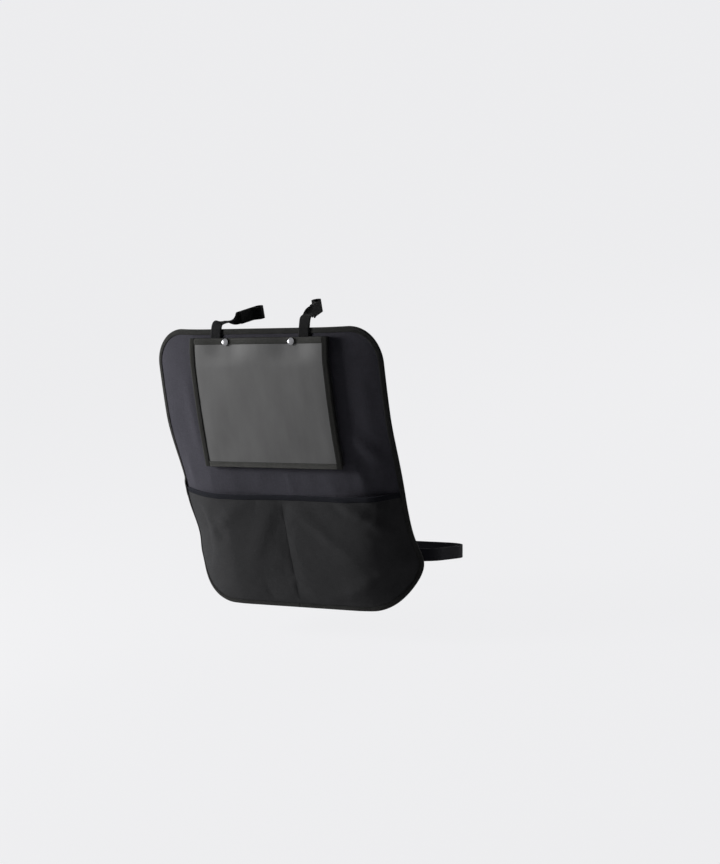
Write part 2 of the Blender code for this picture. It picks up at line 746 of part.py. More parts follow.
def make_kick_pockets(cloth, tape):
    edge = POCKET_TOP - TAPE_THICKNESS - FOLD_GAP
    reach = HALF_WIDTH - PANEL_INSET
    low = BOTTOM_CORNER_RADIUS - HALF_HEIGHT
    foot = HALF_WIDTH - BOTTOM_CORNER_RADIUS
    below = [point for point in edge_outline(PANEL_INSET) if point[1] < edge - 1e-4]
    left = sorted((point for point in below if point[0] < -foot + 1e-6), key=lambda point: -point[1])
    bottom = sorted(point for point in below if abs(point[0]) < foot - 1e-6)
    right = [(-u, v) for u, v in left[::-1]]
    rows = merged(between(ROWS, -HALF_HEIGHT, edge), steps(edge, low, 0.016)[1:3])
    outline = [(-reach, edge)] + left + bottom + right + [(reach, edge)]
    sheet = slab(outline, POCKET_RISE, POCKET_RISE + POCKET_THICKNESS, FINE_COLUMNS[1:-1], rows)
    place("kick_pocket", drape(sheet, pocket_lift), cloth)

    inner_low = POCKET_RISE - FOLD_GAP
    inner_high = POCKET_RISE + POCKET_THICKNESS + FOLD_GAP
    section = fold_section(POCKET_TAPE_WIDTH, inner_low, inner_high)
    stations = [-reach] + FINE_COLUMNS[1:-1] + [reach]
    rings = [[(u, POCKET_TOP - inset, rise) for inset, rise in section] for u in stations]
    place("kick_pocket_binding", drape(swept(rings), pocket_lift), tape)


# Straps


def side_name(side):
    return "right" if side > 0 else "left"


def make_upper_straps(webbing, hook, loop):
    rise = OVER_PANEL_RISE + TAPE_THICKNESS + LAYER_GAP + STRAP_THICKNESS / 2
    eye_radius = POST_CLEAR_RADIUS + STRAP_THICKNESS / 2
    lap = STRAP_THICKNESS + 2 * PATCH_THICKNESS + 3 * FOLD_GAP
    neck_start = TWIST_LENGTH + FASTENED_LENGTH
    eye_middle = neck_start + EYE_NECK
    for side in (-1, 1):
        name = side_name(side)
        u = side * STRAP_SPACING / 2
        ahead = Vector((-side * math.sin(STRAP_LEAN), math.cos(STRAP_LEAN), 0))
        inward = Vector((-side * math.cos(STRAP_LEAN), -math.sin(STRAP_LEAN), 0))
        centres = []
        faces = []
        for v in steps(HALF_HEIGHT - STRAP_SEWN_LENGTH, HALF_HEIGHT, 0.010):
            matrix = draped_matrix(u, v)
            centres.append(draped_point(u, v, rise))
            faces.append(matrix.col[2].to_3d())
        upward = matrix.col[1].to_3d()
        edge = centres[-1]
        shoulder = edge + ahead * SHOULDER_REACH
        shoulder.z = HALF_HEIGHT + (RIGHT_SHOULDER_RISE if side > 0 else LEFT_SHOULDER_RISE)
        pull = 0.6 * SHOULDER_REACH
        bend = (edge, edge + upward * pull, shoulder - ahead * pull, shoulder)
        for t in steps(0, 1, 0.125)[1:]:
            weights = ((1 - t) ** 3, 3 * t * (1 - t) ** 2, 3 * t * t * (1 - t), t**3)
            centres.append(sum((point * weight for point, weight in zip(bend, weights)), Vector()))
            faces.append(faces[0].lerp(Vector((0, 0, 1)), float(smooth_step(t))))
        for t in steps(0, 1, 0.1)[1:]:
            centres.append(shoulder + ahead * TWIST_LENGTH * t)
            turn = math.pi / 2 * float(smooth_step(t))
            faces.append(Vector((0, 0, math.cos(turn))) - inward * math.sin(turn))
        route = rounded_route(
            (
                (TWIST_LENGTH, 0, 0),
                (eye_middle + eye_radius, 0, eye_radius),
                (eye_middle + eye_radius, 2 * eye_radius, eye_radius),
                (neck_start + 0.72 * EYE_NECK, 2 * eye_radius, 0.35 * EYE_NECK),
                (neck_start + 0.22 * EYE_NECK, lap, 0.35 * EYE_NECK),
                (TWIST_LENGTH, lap, 0),
            )
        )[1:]
        for i, point in enumerate(route):
            nearby = route[max(i - 1, 0) : i + 2]
            run = (nearby[-1] - nearby[0]).normalized()
            centres.append(shoulder + ahead * point.x + inward * point.y)
            faces.append(ahead * run.y - inward * run.x)
        strap = ribbon(centres, faces, STRAP_WIDTH, STRAP_THICKNESS, lanes=2)
        place(f"upper_strap_{name}", strap, webbing)

        half_height = STRAP_WIDTH / 2 - PATCH_MARGIN
        start = TWIST_LENGTH + (FASTENED_LENGTH - PATCH_LENGTH) / 2
        corners = (
            (start, -half_height, 0.003),
            (start + PATCH_LENGTH, -half_height, 0.003),
            (start + PATCH_LENGTH, half_height, 0.003),
            (start, half_height, 0.003),
        )
        matrix = Matrix((ahead, Vector((0, 0, -side)), inward)).transposed().to_4x4()
        matrix.translation = shoulder
        loop_low = STRAP_THICKNESS / 2 + FOLD_GAP
        hook_low = loop_low + PATCH_THICKNESS + FOLD_GAP
        outline = rounded_route(corners + corners[:2])[1:-1]
        for label, low, material in (("loop", loop_low, loop), ("hook", hook_low, hook)):
            patch = slab([tuple(point) for point in outline], low, low + PATCH_THICKNESS)
            bmesh.ops.remove_doubles(patch, verts=patch.verts, dist=1e-6)
            place(f"strap_{label}_patch_{name}", patch, material, matrix)


# Girdle: its plane route is drawn in (x, ahead), with ahead counted from the mat's edge


def girdle_axes():
    """The girdle plane's origin under the mat's edge, its forward direction, and its normal."""
    edge = draped_point(HALF_WIDTH, ELASTIC_HEIGHT, BACK_TAPE_RISE - LAYER_GAP - ELASTIC_THICKNESS / 2)
    forward = Vector((0, math.cos(GIRDLE_SLOPE), -math.sin(GIRDLE_SLOPE)))
    normal = Vector((0, math.sin(GIRDLE_SLOPE), math.cos(GIRDLE_SLOPE)))
    return edge, forward, normal


def buckle_sizes():
    """Depths along the girdle where the elastic threads the buckle, from the mouth of its housing."""
    stand = PLUG_THICKNESS / 2 + FOLD_GAP + ELASTIC_THICKNESS / 2
    near_slot = PLUG_LENGTH - 2 * WEB_BAR - 1.5 * WEB_SLOT
    far_slot = near_slot + WEB_SLOT + WEB_BAR
    housing_slot = HOUSING_LENGTH + WEB_SLOT / 2
    housing_bar = housing_slot + WEB_SLOT / 2 + WEB_BAR
    return stand, near_slot, far_slot, housing_slot, housing_bar


def make_elastics(elastic):
    edge, forward, _ = girdle_axes()
    stand, near_slot, far_slot, housing_slot, housing_bar = buckle_sizes()
    mouth = (HOUSING_LENGTH - PLUG_LENGTH) / 2 + WEB_SLOT / 2
    front = GIRDLE_DEPTH
    doubled = stand + ELASTIC_THICKNESS + FOLD_GAP
    lap = (ELASTIC_THICKNESS + FOLD_GAP) / 2
    threaded = {
        1: (
            (mouth + near_slot, front - doubled, WEB_BEND),
            (mouth + near_slot, front + stand, WEB_BEND),
            (mouth + far_slot, front + stand, WEB_BEND),
            (mouth + far_slot, front - stand, WEB_BEND),
            (mouth + far_slot + ELASTIC_TAIL, front - stand, 0),
        ),
        -1: (
            (housing_bar - mouth + 0.014, front - lap, 0.008),
            (housing_bar - mouth + 0.003, front - stand, 0.008),
            (housing_slot - mouth, front - stand, WEB_BEND),
            (housing_slot - mouth, front + stand, WEB_BEND),
            (housing_bar - mouth + 0.003, front + stand, 0.008),
            (housing_bar - mouth + 0.014, front + lap, 0.008),
            (housing_bar - mouth + 0.014 + ELASTIC_LAP, front + lap, 0),
        ),
    }
    rise = BACK_TAPE_RISE - LAYER_GAP - ELASTIC_THICKNESS / 2
    side_x = edge.x + GIRDLE_FLARE
    meet = GIRDLE_FLARE * math.tan(GIRDLE_WRAP)
    drop = math.sin(GIRDLE_WRAP) * math.tan(GIRDLE_SLOPE)
    sewn_face = draped_matrix(HALF_WIDTH, ELASTIC_HEIGHT).col[2].to_3d()
    for side in (-1, 1):
        centres = []
        faces = []
        for inset in steps(ELASTIC_SEWN_LENGTH, 0, 0.009)[:-1]:
            u = HALF_WIDTH - inset
            v = ELASTIC_HEIGHT + drop * inset
            centres.append(draped_point(u, v, rise))
            faces.append(draped_matrix(u, v).col[2].to_3d())
        first = threaded[side][0]
        route = rounded_route(
            (
                (edge.x, 0, 0),
                (side_x, meet, GIRDLE_SIDE_RADIUS),
                (side_x, first[1], GIRDLE_FRONT_RADIUS),
                *threaded[side],
            )
        )
        for i, point in enumerate(route):
            nearby = route[max(i - 1, 0) : i + 2]
            run = (nearby[-1] - nearby[0]).normalized()
            centres.append(Vector((point.x, edge.y, edge.z)) + forward * point.y)
            free = float(smooth_step((point - route[0]).length / ELASTIC_SEWN_LENGTH))
            faces.append(sewn_face.lerp(Vector((run.y, 0, 0)) - forward * run.x, free))
        mesh = ribbon(centres, faces, ELASTIC_WIDTH, ELASTIC_THICKNESS)
        if side < 0:
            bmesh.ops.scale(mesh, verts=mesh.verts, vec=(-1, 1, 1))
        place(f"lower_elastic_{side_name(side)}", mesh, elastic)


def make_buckle(plastic):
    """The housing with its side windows, and the plug with two springy prongs and a guide."""
    edge, forward, normal = girdle_axes()
    stand, near_slot, far_slot, housing_slot, housing_bar = buckle_sizes()
    mouth = (HOUSING_LENGTH - PLUG_LENGTH) / 2 + WEB_SLOT / 2
    matrix = Matrix((Vector((1, 0, 0)), -normal, forward)).transposed().to_4x4()
    matrix.translation = Vector((mouth, edge.y, edge.z)) + forward * GIRDLE_DEPTH
    half = BUCKLE_WIDTH / 2
    slot_half = ELASTIC_WIDTH / 2 + SLOT_MARGIN
    bar_half = PLUG_THICKNESS / 2

    waist = half - 0.0010
    body = rounded_route(
        (
            (-HOUSING_LENGTH / 2, -half, 0),
            (-0.0006, -half, 0.0012),
            (0.0, -half + 0.004, 0.0012),
            (0.0, half - 0.004, 0.0012),
            (-0.0006, half, 0.0012),
            (-HOUSING_LENGTH / 2, waist, 0.020),
            (-housing_bar, half, 0.0025),
            (-housing_bar, -half, 0.0025),
            (-HOUSING_LENGTH / 2, -waist, 0.020),
            (-0.0006, -half, 0.0012),
        )
    )[1:-1]
    outline = [tuple(point) for point in body]
    creases = [-HOUSING_LENGTH + 0.0005, -CAVITY_DEPTH - 0.0015]
    housing = slab(outline, -HOUSING_THICKNESS / 2, HOUSING_THICKNESS / 2, creases)
    bmesh.ops.remove_doubles(housing, verts=housing.verts, dist=2e-5)
    # The strap end is thinner than the body: its top and bottom slope down towards the bar
    for vertex in housing.verts:
        slope = min(max((creases[1] - vertex.co.x) / (creases[1] - creases[0]), 0.0), 1.0)
        vertex.co.z *= 1 - slope * (1 - PLUG_THICKNESS / HOUSING_THICKNESS)
    housing = place("buckle_housing", housing, plastic)
    housing.matrix_world = matrix
    rounded = housing.modifiers.new("rounded_edges", "BEVEL")
    rounded.width = 0.0008
    rounded.segments = 2
    rounded.angle_limit = math.radians(50)
    inner_half = half - HOUSING_WALL
    opening = PRONG_THICKNESS / 2 + PRONG_GAP
    cavity = block((-CAVITY_DEPTH, -inner_half, -opening), (0.002, inner_half, opening))
    cut(housing, "housing_cavity", cavity, matrix)
    window_low = (-BARB_START - 0.0070, -2 * half, -opening)
    windows = block(window_low, (-BARB_START + 0.0012, 2 * half, opening))
    cut(housing, "housing_windows", windows, matrix)
    slot_low = (-housing_slot - WEB_SLOT / 2, -slot_half, -HOUSING_THICKNESS)
    slot = block(slot_low, (-housing_slot + WEB_SLOT / 2, slot_half, HOUSING_THICKNESS))
    cut(housing, "housing_web_slot", slot, matrix)

    base = rounded_route(
        (
            (0.0015, 0, 0),
            (PRONG_GAP, -half + 0.001, 0.0008),
            (PLUG_LENGTH / 2, -half, 0.010),
            (PLUG_LENGTH, -half + 0.001, 0.0030),
            (PLUG_LENGTH, half - 0.001, 0.0030),
            (PLUG_LENGTH / 2, half, 0.010),
            (PRONG_GAP, half - 0.001, 0.0008),
            (PRONG_GAP, -half + 0.001, 0.0008),
            (PLUG_LENGTH / 2, -half, 0.010),
        )
    )
    outline = [tuple(point) for point in base[4:-4]]
    plug = slab(outline, -bar_half, bar_half)
    plug = place("buckle_plug", plug, plastic)
    plug.matrix_world = matrix
    arm_inner = inner_half - 0.0045
    prongs = []
    for side in (-1, 1):
        prongs.append(
            (
                (0.002, side * arm_inner),
                (0.002, side * (arm_inner + 0.003)),
                (-BARB_START + 0.001, side * (inner_half - PRONG_GAP - 0.0006)),
                (-BARB_START, side * (inner_half + BARB_STAND)),
                (-BARB_START - 0.0030, side * (inner_half - PRONG_GAP)),
                (-PRONG_REACH + 0.0015, side * (arm_inner + 0.0010)),
                (-PRONG_REACH, side * (arm_inner - 0.0004)),
                (-PRONG_REACH + 0.0005, side * (arm_inner - 0.0014)),
            )
        )
    prongs.append(((0.002, -0.002), (0.002, 0.002), (-0.016, 0.0016), (-0.0175, 0), (-0.016, -0.0016)))
    for label, points in zip(("left", "right", "guide"), prongs):
        prong = slab(points, -PRONG_THICKNESS / 2, PRONG_THICKNESS / 2)
        arm = place(f"plug_prong_{label}", prong, None, matrix, smooth=False)
        arm.hide_render = True
        arm.display_type = "WIRE"
        joined = plug.modifiers.new(f"prong_{label}", "BOOLEAN")
        joined.operation = "UNION"
        joined.solver = "EXACT"
        joined.object = arm
    for label, middle in (("near", near_slot), ("far", far_slot)):
        low = (middle - WEB_SLOT / 2, -slot_half, -2 * bar_half)
        cut(plug, f"plug_{label}_slot", block(low, (middle + WEB_SLOT / 2, slot_half, 2 * bar_half)), matrix)


def main():
    clear_scene()
    cloth = finish("main_cloth", 0.045, 0.043, 0.056, 0.85)
    pocket_cloth = finish("pocket_cloth", 0.022, 0.023, 0.024, 0.80)
    tape = finish("binding_tape", 0.012, 0.012, 0.011, 0.90)
    lining = finish("gusset_cloth", 0.014, 0.014, 0.014, 0.90)
    film = finish("clear_film", 0.30, 0.30, 0.31, 0.25, alpha=0.35)
    nickel = finish("nickel", 0.62, 0.62, 0.64, 0.28, metallic=1.0)
    webbing = finish("webbing", 0.011, 0.011, 0.011, 0.85)
    elastic = finish("elastic", 0.010, 0.011, 0.014, 0.70)
    hook = finish("hook_tape", 0.010, 0.010, 0.010, 0.95)
    loop = finish("loop_tape", 0.014, 0.014, 0.015, 1.00)
    plastic = finish("buckle_plastic", 0.012, 0.012, 0.012, 0.40)
    make_mat(cloth, tape)
    clear, hem = make_tablet_pocket(film, tape, lining)
    make_snaps(clear, hem, nickel)
    make_kick_pockets(pocket_cloth, tape)
    make_upper_straps(webbing, hook, loop)
    make_elastics(elastic)
    make_buckle(plastic)


main()
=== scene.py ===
import math

import bmesh
import bpy
import numpy as np
from mathutils import Matrix, Quaternion, Vector


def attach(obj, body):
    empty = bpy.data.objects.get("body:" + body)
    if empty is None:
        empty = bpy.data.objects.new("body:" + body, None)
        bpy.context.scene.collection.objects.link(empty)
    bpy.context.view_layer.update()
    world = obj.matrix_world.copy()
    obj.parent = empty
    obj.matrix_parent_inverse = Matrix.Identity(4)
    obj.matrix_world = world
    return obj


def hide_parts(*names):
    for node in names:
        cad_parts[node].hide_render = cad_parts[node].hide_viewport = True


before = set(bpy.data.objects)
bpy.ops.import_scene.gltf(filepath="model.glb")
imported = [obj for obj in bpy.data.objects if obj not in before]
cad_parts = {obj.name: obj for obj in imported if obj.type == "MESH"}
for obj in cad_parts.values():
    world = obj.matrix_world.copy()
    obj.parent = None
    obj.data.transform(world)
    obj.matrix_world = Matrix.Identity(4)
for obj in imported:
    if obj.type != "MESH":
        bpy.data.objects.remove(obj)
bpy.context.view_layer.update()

# Camera
# It stands in front of the mat's pockets and to their right. The mat hangs leaning towards it, so in the
# mat's own upright frame it looks down a little.

camera = bpy.data.objects.new("camera", bpy.data.cameras.new("camera"))
bpy.context.scene.collection.objects.link(camera)
bpy.context.scene.camera = camera
camera.location = (2.5275, -3.3303, 1.1224)
camera.rotation_mode = "QUATERNION"
camera.rotation_quaternion = Quaternion((0.76989, 0.56896, 0.22896, 0.17642))
camera.data.sensor_width = 36
camera.data.lens = 91.7
camera.data.clip_end = 400

# Studio
# A plain pale floor under a plain pale surround. One soft lamp stands to the mat's left and grazes the cloth,
# so that its folds show, a second one lights the back, and the surround only just fills the shadows.

BACKDROP = (0.90, 0.90, 0.915, 1.0)
FLOOR_LEVEL = -0.36
FLOOR_GLOW = 0.93
bpy.context.scene.view_settings.view_transform = "Standard"


def seen_directly(nodes, links):
    """1 where a camera, glossy or transmission ray arrives, else 0."""
    path = nodes.new("ShaderNodeLightPath")
    first = nodes.new("ShaderNodeMath")
    first.operation = "MAXIMUM"
    second = nodes.new("ShaderNodeMath")
    second.operation = "MAXIMUM"
    links.new(path.outputs["Is Camera Ray"], first.inputs[0])
    links.new(path.outputs["Is Glossy Ray"], first.inputs[1])
    links.new(first.outputs[0], second.inputs[0])
    links.new(path.outputs["Is Transmission Ray"], second.inputs[1])
    return second.outputs[0]


surround = bpy.data.worlds.new("surround")
surround.use_nodes = True
bpy.context.scene.world = surround
nodes, links = surround.node_tree.nodes, surround.node_tree.links
fill = nodes["Background"]
fill.inputs["Color"].default_value = (0.89, 0.92, 1.08, 1.0)
fill.inputs["Strength"].default_value = 0.022
shown = nodes.new("ShaderNodeBackground")
shown.inputs["Color"].default_value = BACKDROP
either = nodes.new("ShaderNodeMixShader")
links.new(seen_directly(nodes, links), either.inputs[0])
links.new(fill.outputs[0], either.inputs[1])
links.new(shown.outputs[0], either.inputs[2])
links.new(either.outputs[0], nodes["World Output"].inputs["Surface"])

floor_mesh = bmesh.new()
bmesh.ops.create_grid(floor_mesh, x_segments=1, y_segments=1, size=120)
bmesh.ops.translate(floor_mesh, verts=floor_mesh.verts, vec=(0, 0, FLOOR_LEVEL))
floor = bpy.data.objects.new("floor", bpy.data.meshes.new("floor"))
floor_mesh.to_mesh(floor.data)
floor_mesh.free()
bpy.context.scene.collection.objects.link(floor)


def new_finish(name):
    """A new material, with its nodes and its links."""
    material = bpy.data.materials.new(name)
    material.use_nodes = True
    return material, material.node_tree.nodes, material.node_tree.links


paper, nodes, links = new_finish("floor_paper")
matt = nodes["Principled BSDF"]
matt.inputs["Base Color"].default_value = (0.55, 0.55, 0.56, 1.0)
matt.inputs["Roughness"].default_value = 0.9
glow = nodes.new("ShaderNodeEmission")
glow.inputs["Color"].default_value = BACKDROP
share = nodes.new("ShaderNodeMath")
share.operation = "MULTIPLY"
share.inputs[1].default_value = FLOOR_GLOW
either = nodes.new("ShaderNodeMixShader")
links.new(seen_directly(nodes, links), share.inputs[0])
links.new(share.outputs[0], either.inputs[0])
links.new(matt.outputs[0], either.inputs[1])
links.new(glow.outputs[0], either.inputs[2])
links.new(either.outputs[0], nodes["Material Output"].inputs["Surface"])
floor.data.materials.append(paper)


def lamp(name, place, width, power):
    """A square soft lamp that hangs at place and looks at the middle of the mat."""
    light = bpy.data.lights.new(name, "AREA")
    light.size = width
    light.energy = power
    stand = bpy.data.objects.new(name, light)
    stand.location = place
    stand.rotation_mode = "QUATERNION"
    stand.rotation_quaternion = (-Vector(place)).to_track_quat("-Z", "Y")
    stand.visible_camera = False
    bpy.context.scene.collection.objects.link(stand)


lamp("key_lamp", (-1.62, -0.65, 0.59), 0.58, 34)
lamp("back_lamp", (0.9, 2.6, 1.2), 2.0, 26)

# Back panel
# Heavy woven polyester laminated on thin foam, 541 by 567 mm and 2.5 mm thick, with rounded corners. It is
# cut flat, and in use its sides wrap forward and its top edge rolls forward. It is drawn the same way: on the
# flat pattern first, whose metres stay as its UV map, and then draped.

HALF_WIDTH, HALF_HEIGHT = 0.272, 0.285
TOP_CORNER, BOTTOM_CORNER = 0.073, 0.105
PANEL_THICKNESS = 0.0025
# The cloth is cut this much smaller than its bound edge, and the binding hides this much of it
CUT_INSET, BOUND_REACH = 0.0013, 0.010
# In use the mat is flat across to here, and wraps forward beyond by so many degrees at its foot, which then
# grow or shrink between two heights
FLAT_HALF, FOOT_WRAP = 0.127, 30
WRAP_CHANGES = ((-0.285, -0.203, 21), (-0.203, -0.058, -17), (-0.058, 0.115, -15), (0.115, 0.285, -0.5))
# The girdle pulls the sides outwards round this height
GIRDLE_PULL, PULL_HEIGHT, PULL_SPREAD = 0.016, -0.203, 0.045
# The mat bows forward above and below its middle, and rolls forward at its top
BOW_START, TOP_BOW, FOOT_BOW = 0.060, 0.0145, 0.0085
ROLL_START, ROLL_ANGLE = 0.215, 19


def eased(t):
    """0 up to 0, 1 from 1 on, and a smooth rise between."""
    t = np.clip(t, 0, 1)
    return t * t * (3 - 2 * t)


def draped_surface(u, v):
    """The back of the draped mat, at the point u across and v up its pattern."""
    wrap = math.radians(FOOT_WRAP)
    for low, high, turn in WRAP_CHANGES:
        wrap = wrap + math.radians(turn) * eased((v - low) / (high - low))
    reach = HALF_WIDTH - FLAT_HALF
    side = np.maximum(np.abs(u) - FLAT_HALF, 0)
    radius = reach / wrap
    pull = GIRDLE_PULL * np.exp(-(((v - PULL_HEIGHT) / PULL_SPREAD) ** 2))
    x = np.minimum(np.abs(u), FLAT_HALF) + radius * np.sin(side / radius) + pull * side / reach
    y = radius * (1 - np.cos(side / radius))
    bow_reach = HALF_HEIGHT - BOW_START
    y = y + TOP_BOW * (np.maximum(v - BOW_START, 0) / bow_reach) ** 2
    y = y + FOOT_BOW * (np.maximum(-v - BOW_START, 0) / bow_reach) ** 2
    roll_reach = HALF_HEIGHT - ROLL_START
    y = y + math.radians(ROLL_ANGLE) * np.maximum(v - ROLL_START, 0) ** 2 / (2 * roll_reach)
    return np.stack([np.sign(u) * x, y, v + 0 * u], axis=-1)


def laid(u, v, rise):
    """Points that stand rise out from the mat's back, and the way out there."""
    near = 1e-5
    across = draped_surface(u + near, v) - draped_surface(u - near, v)
    upward = draped_surface(u, v + near) - draped_surface(u, v - near)
    out = np.cross(across, upward)
    out /= np.linalg.norm(out, axis=-1, keepdims=True)
    return draped_surface(u, v) + out * np.asarray(rise)[..., None], out


def rounded_corners(u, v, half_width, half_height, top_corner, bottom_corner):
    """Draws the corners of a square-cornered sheet in to quarter circles."""
    for corner, way in ((top_corner, 1), (bottom_corner, -1)):
        hub_u, hub_v = half_width - corner, half_height - corner
        past, above = (np.abs(u) - hub_u) / corner, (way * v - hub_v) / corner
        inside = (past > 0) & (above > 0)
        round_u = hub_u + corner * past * np.sqrt(np.clip(1 - above**2 / 2, 0, 1))
        round_v = hub_v + corner * above * np.sqrt(np.clip(1 - past**2 / 2, 0, 1))
        u, v = np.where(inside, np.sign(u) * round_u, u), np.where(inside, way * round_v, v)
    return u, v


def edge_distance(u, v):
    """How far a point of the pattern lies in from the mat's edge."""
    corner = np.where(v > 0, TOP_CORNER, BOTTOM_CORNER)
    past, above = np.abs(u) - HALF_WIDTH + corner, np.abs(v) - HALF_HEIGHT + corner
    straight = np.minimum(HALF_WIDTH - np.abs(u), HALF_HEIGHT - np.abs(v))
    return np.where((past > 0) & (above > 0), corner - np.hypot(past, above), straight)


def ridge(u, v, start, end, height, width):
    """The height of a soft fold that runs from start to end on the pattern."""
    run = np.subtract(end, start)
    along = ((u - start[0]) * run[0] + (v - start[1]) * run[1]) / (run @ run)
    aside = ((u - start[0]) * run[1] - (v - start[1]) * run[0]) / np.hypot(*run)
    return height * np.sin(math.pi * np.clip(along, 0, 1)) * np.exp(-((aside / width) ** 2))


def panel_relief(u, v):
    """Creases of the hung panel, with the small puckers that its edge seam draws."""
    # Each crease: where it starts and ends, how high it stands and how wide it is
    creases = (
        ((0.175, 0.085), (0.250, 0.015), 0.0034, 0.014),
        ((0.186, 0.030), (0.200, -0.045), 0.0022, 0.012),
        ((0.215, 0.215), (0.232, 0.060), 0.0012, 0.018),
        ((-0.192, 0.215), (-0.172, 0.000), 0.0036, 0.017),
        ((-0.228, 0.030), (-0.222, -0.050), 0.0020, 0.012),
        ((-0.172, 0.020), (-0.160, -0.055), 0.0012, 0.012),
        ((-0.118, 0.012), (-0.104, -0.062), 0.0009, 0.012),
        ((-0.040, 0.020), (-0.052, -0.050), 0.0007, 0.016),
        ((0.022, 0.010), (0.036, -0.060), 0.0009, 0.010),
        ((0.078, 0.018), (0.070, -0.045), 0.0007, 0.012),
        ((0.112, 0.004), (0.140, -0.055), 0.0009, 0.012),
    )
    soft = sum(ridge(u, v, *crease) for crease in creases)
    bare = edge_distance(u, v) - BOUND_REACH
    pucker_pitch, pucker_height, pucker_reach = 0.0105, 0.00030, 0.007
    wave = np.sin(2 * math.pi * (u + v * 1.07) / pucker_pitch)
    pucker = pucker_height * wave * np.exp(-np.maximum(bare, 0) / pucker_reach)
    return soft * eased(bare / 0.03) + pucker


def cloth_piece(name, columns, rows, pattern, shape, thickness, finish, nodes=()):
    """A sheet cut to its pattern, whose metres stay as its UV map, then shaped and given its thickness."""
    mesh = bmesh.new()
    bmesh.ops.create_grid(mesh, x_segments=columns, y_segments=rows, size=0.5)
    square = np.array([vertex.co for vertex in mesh.verts])[:, :2]
    flat = np.stack(pattern(square[:, 0], square[:, 1]), axis=-1)
    threads = mesh.loops.layers.uv.new("threads")
    for vertex, place in zip(mesh.verts, flat):
        for loop in vertex.link_loops:
            loop[threads].uv = place
    for vertex, point in zip(mesh.verts, shape(flat[:, 0], flat[:, 1])):
        vertex.co = point
    bmesh.ops.remove_doubles(mesh, verts=mesh.verts, dist=1e-6)
    return made(name, mesh, finish, nodes, thickness)


def made(name, mesh, finish, nodes=(), thickness=0.0):
    """Turns a bmesh into a smooth piece that rides on the part."""
    data = bpy.data.meshes.new(name)
    mesh.to_mesh(data)
    mesh.free()
    data.shade_smooth()
    piece = bpy.data.objects.new(name, data)
    bpy.context.scene.collection.objects.link(piece)
    data.materials.append(finish)
    if thickness:
        body = piece.modifiers.new("thickness", "SOLIDIFY")
        body.thickness = thickness
        body.offset = 0
        body.use_even_offset = True
    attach(piece, "root")
    if nodes:
        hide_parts(*nodes)
    return piece


def noise_on(nodes, links, place, scale, detail=2):
    """The value of a noise that reads place."""
    texture = nodes.new("ShaderNodeTexNoise")
    texture.inputs["Scale"].default_value = scale
    texture.inputs["Detail"].default_value = detail
    links.new(place, texture.inputs["Vector"])
    return texture.outputs[0]


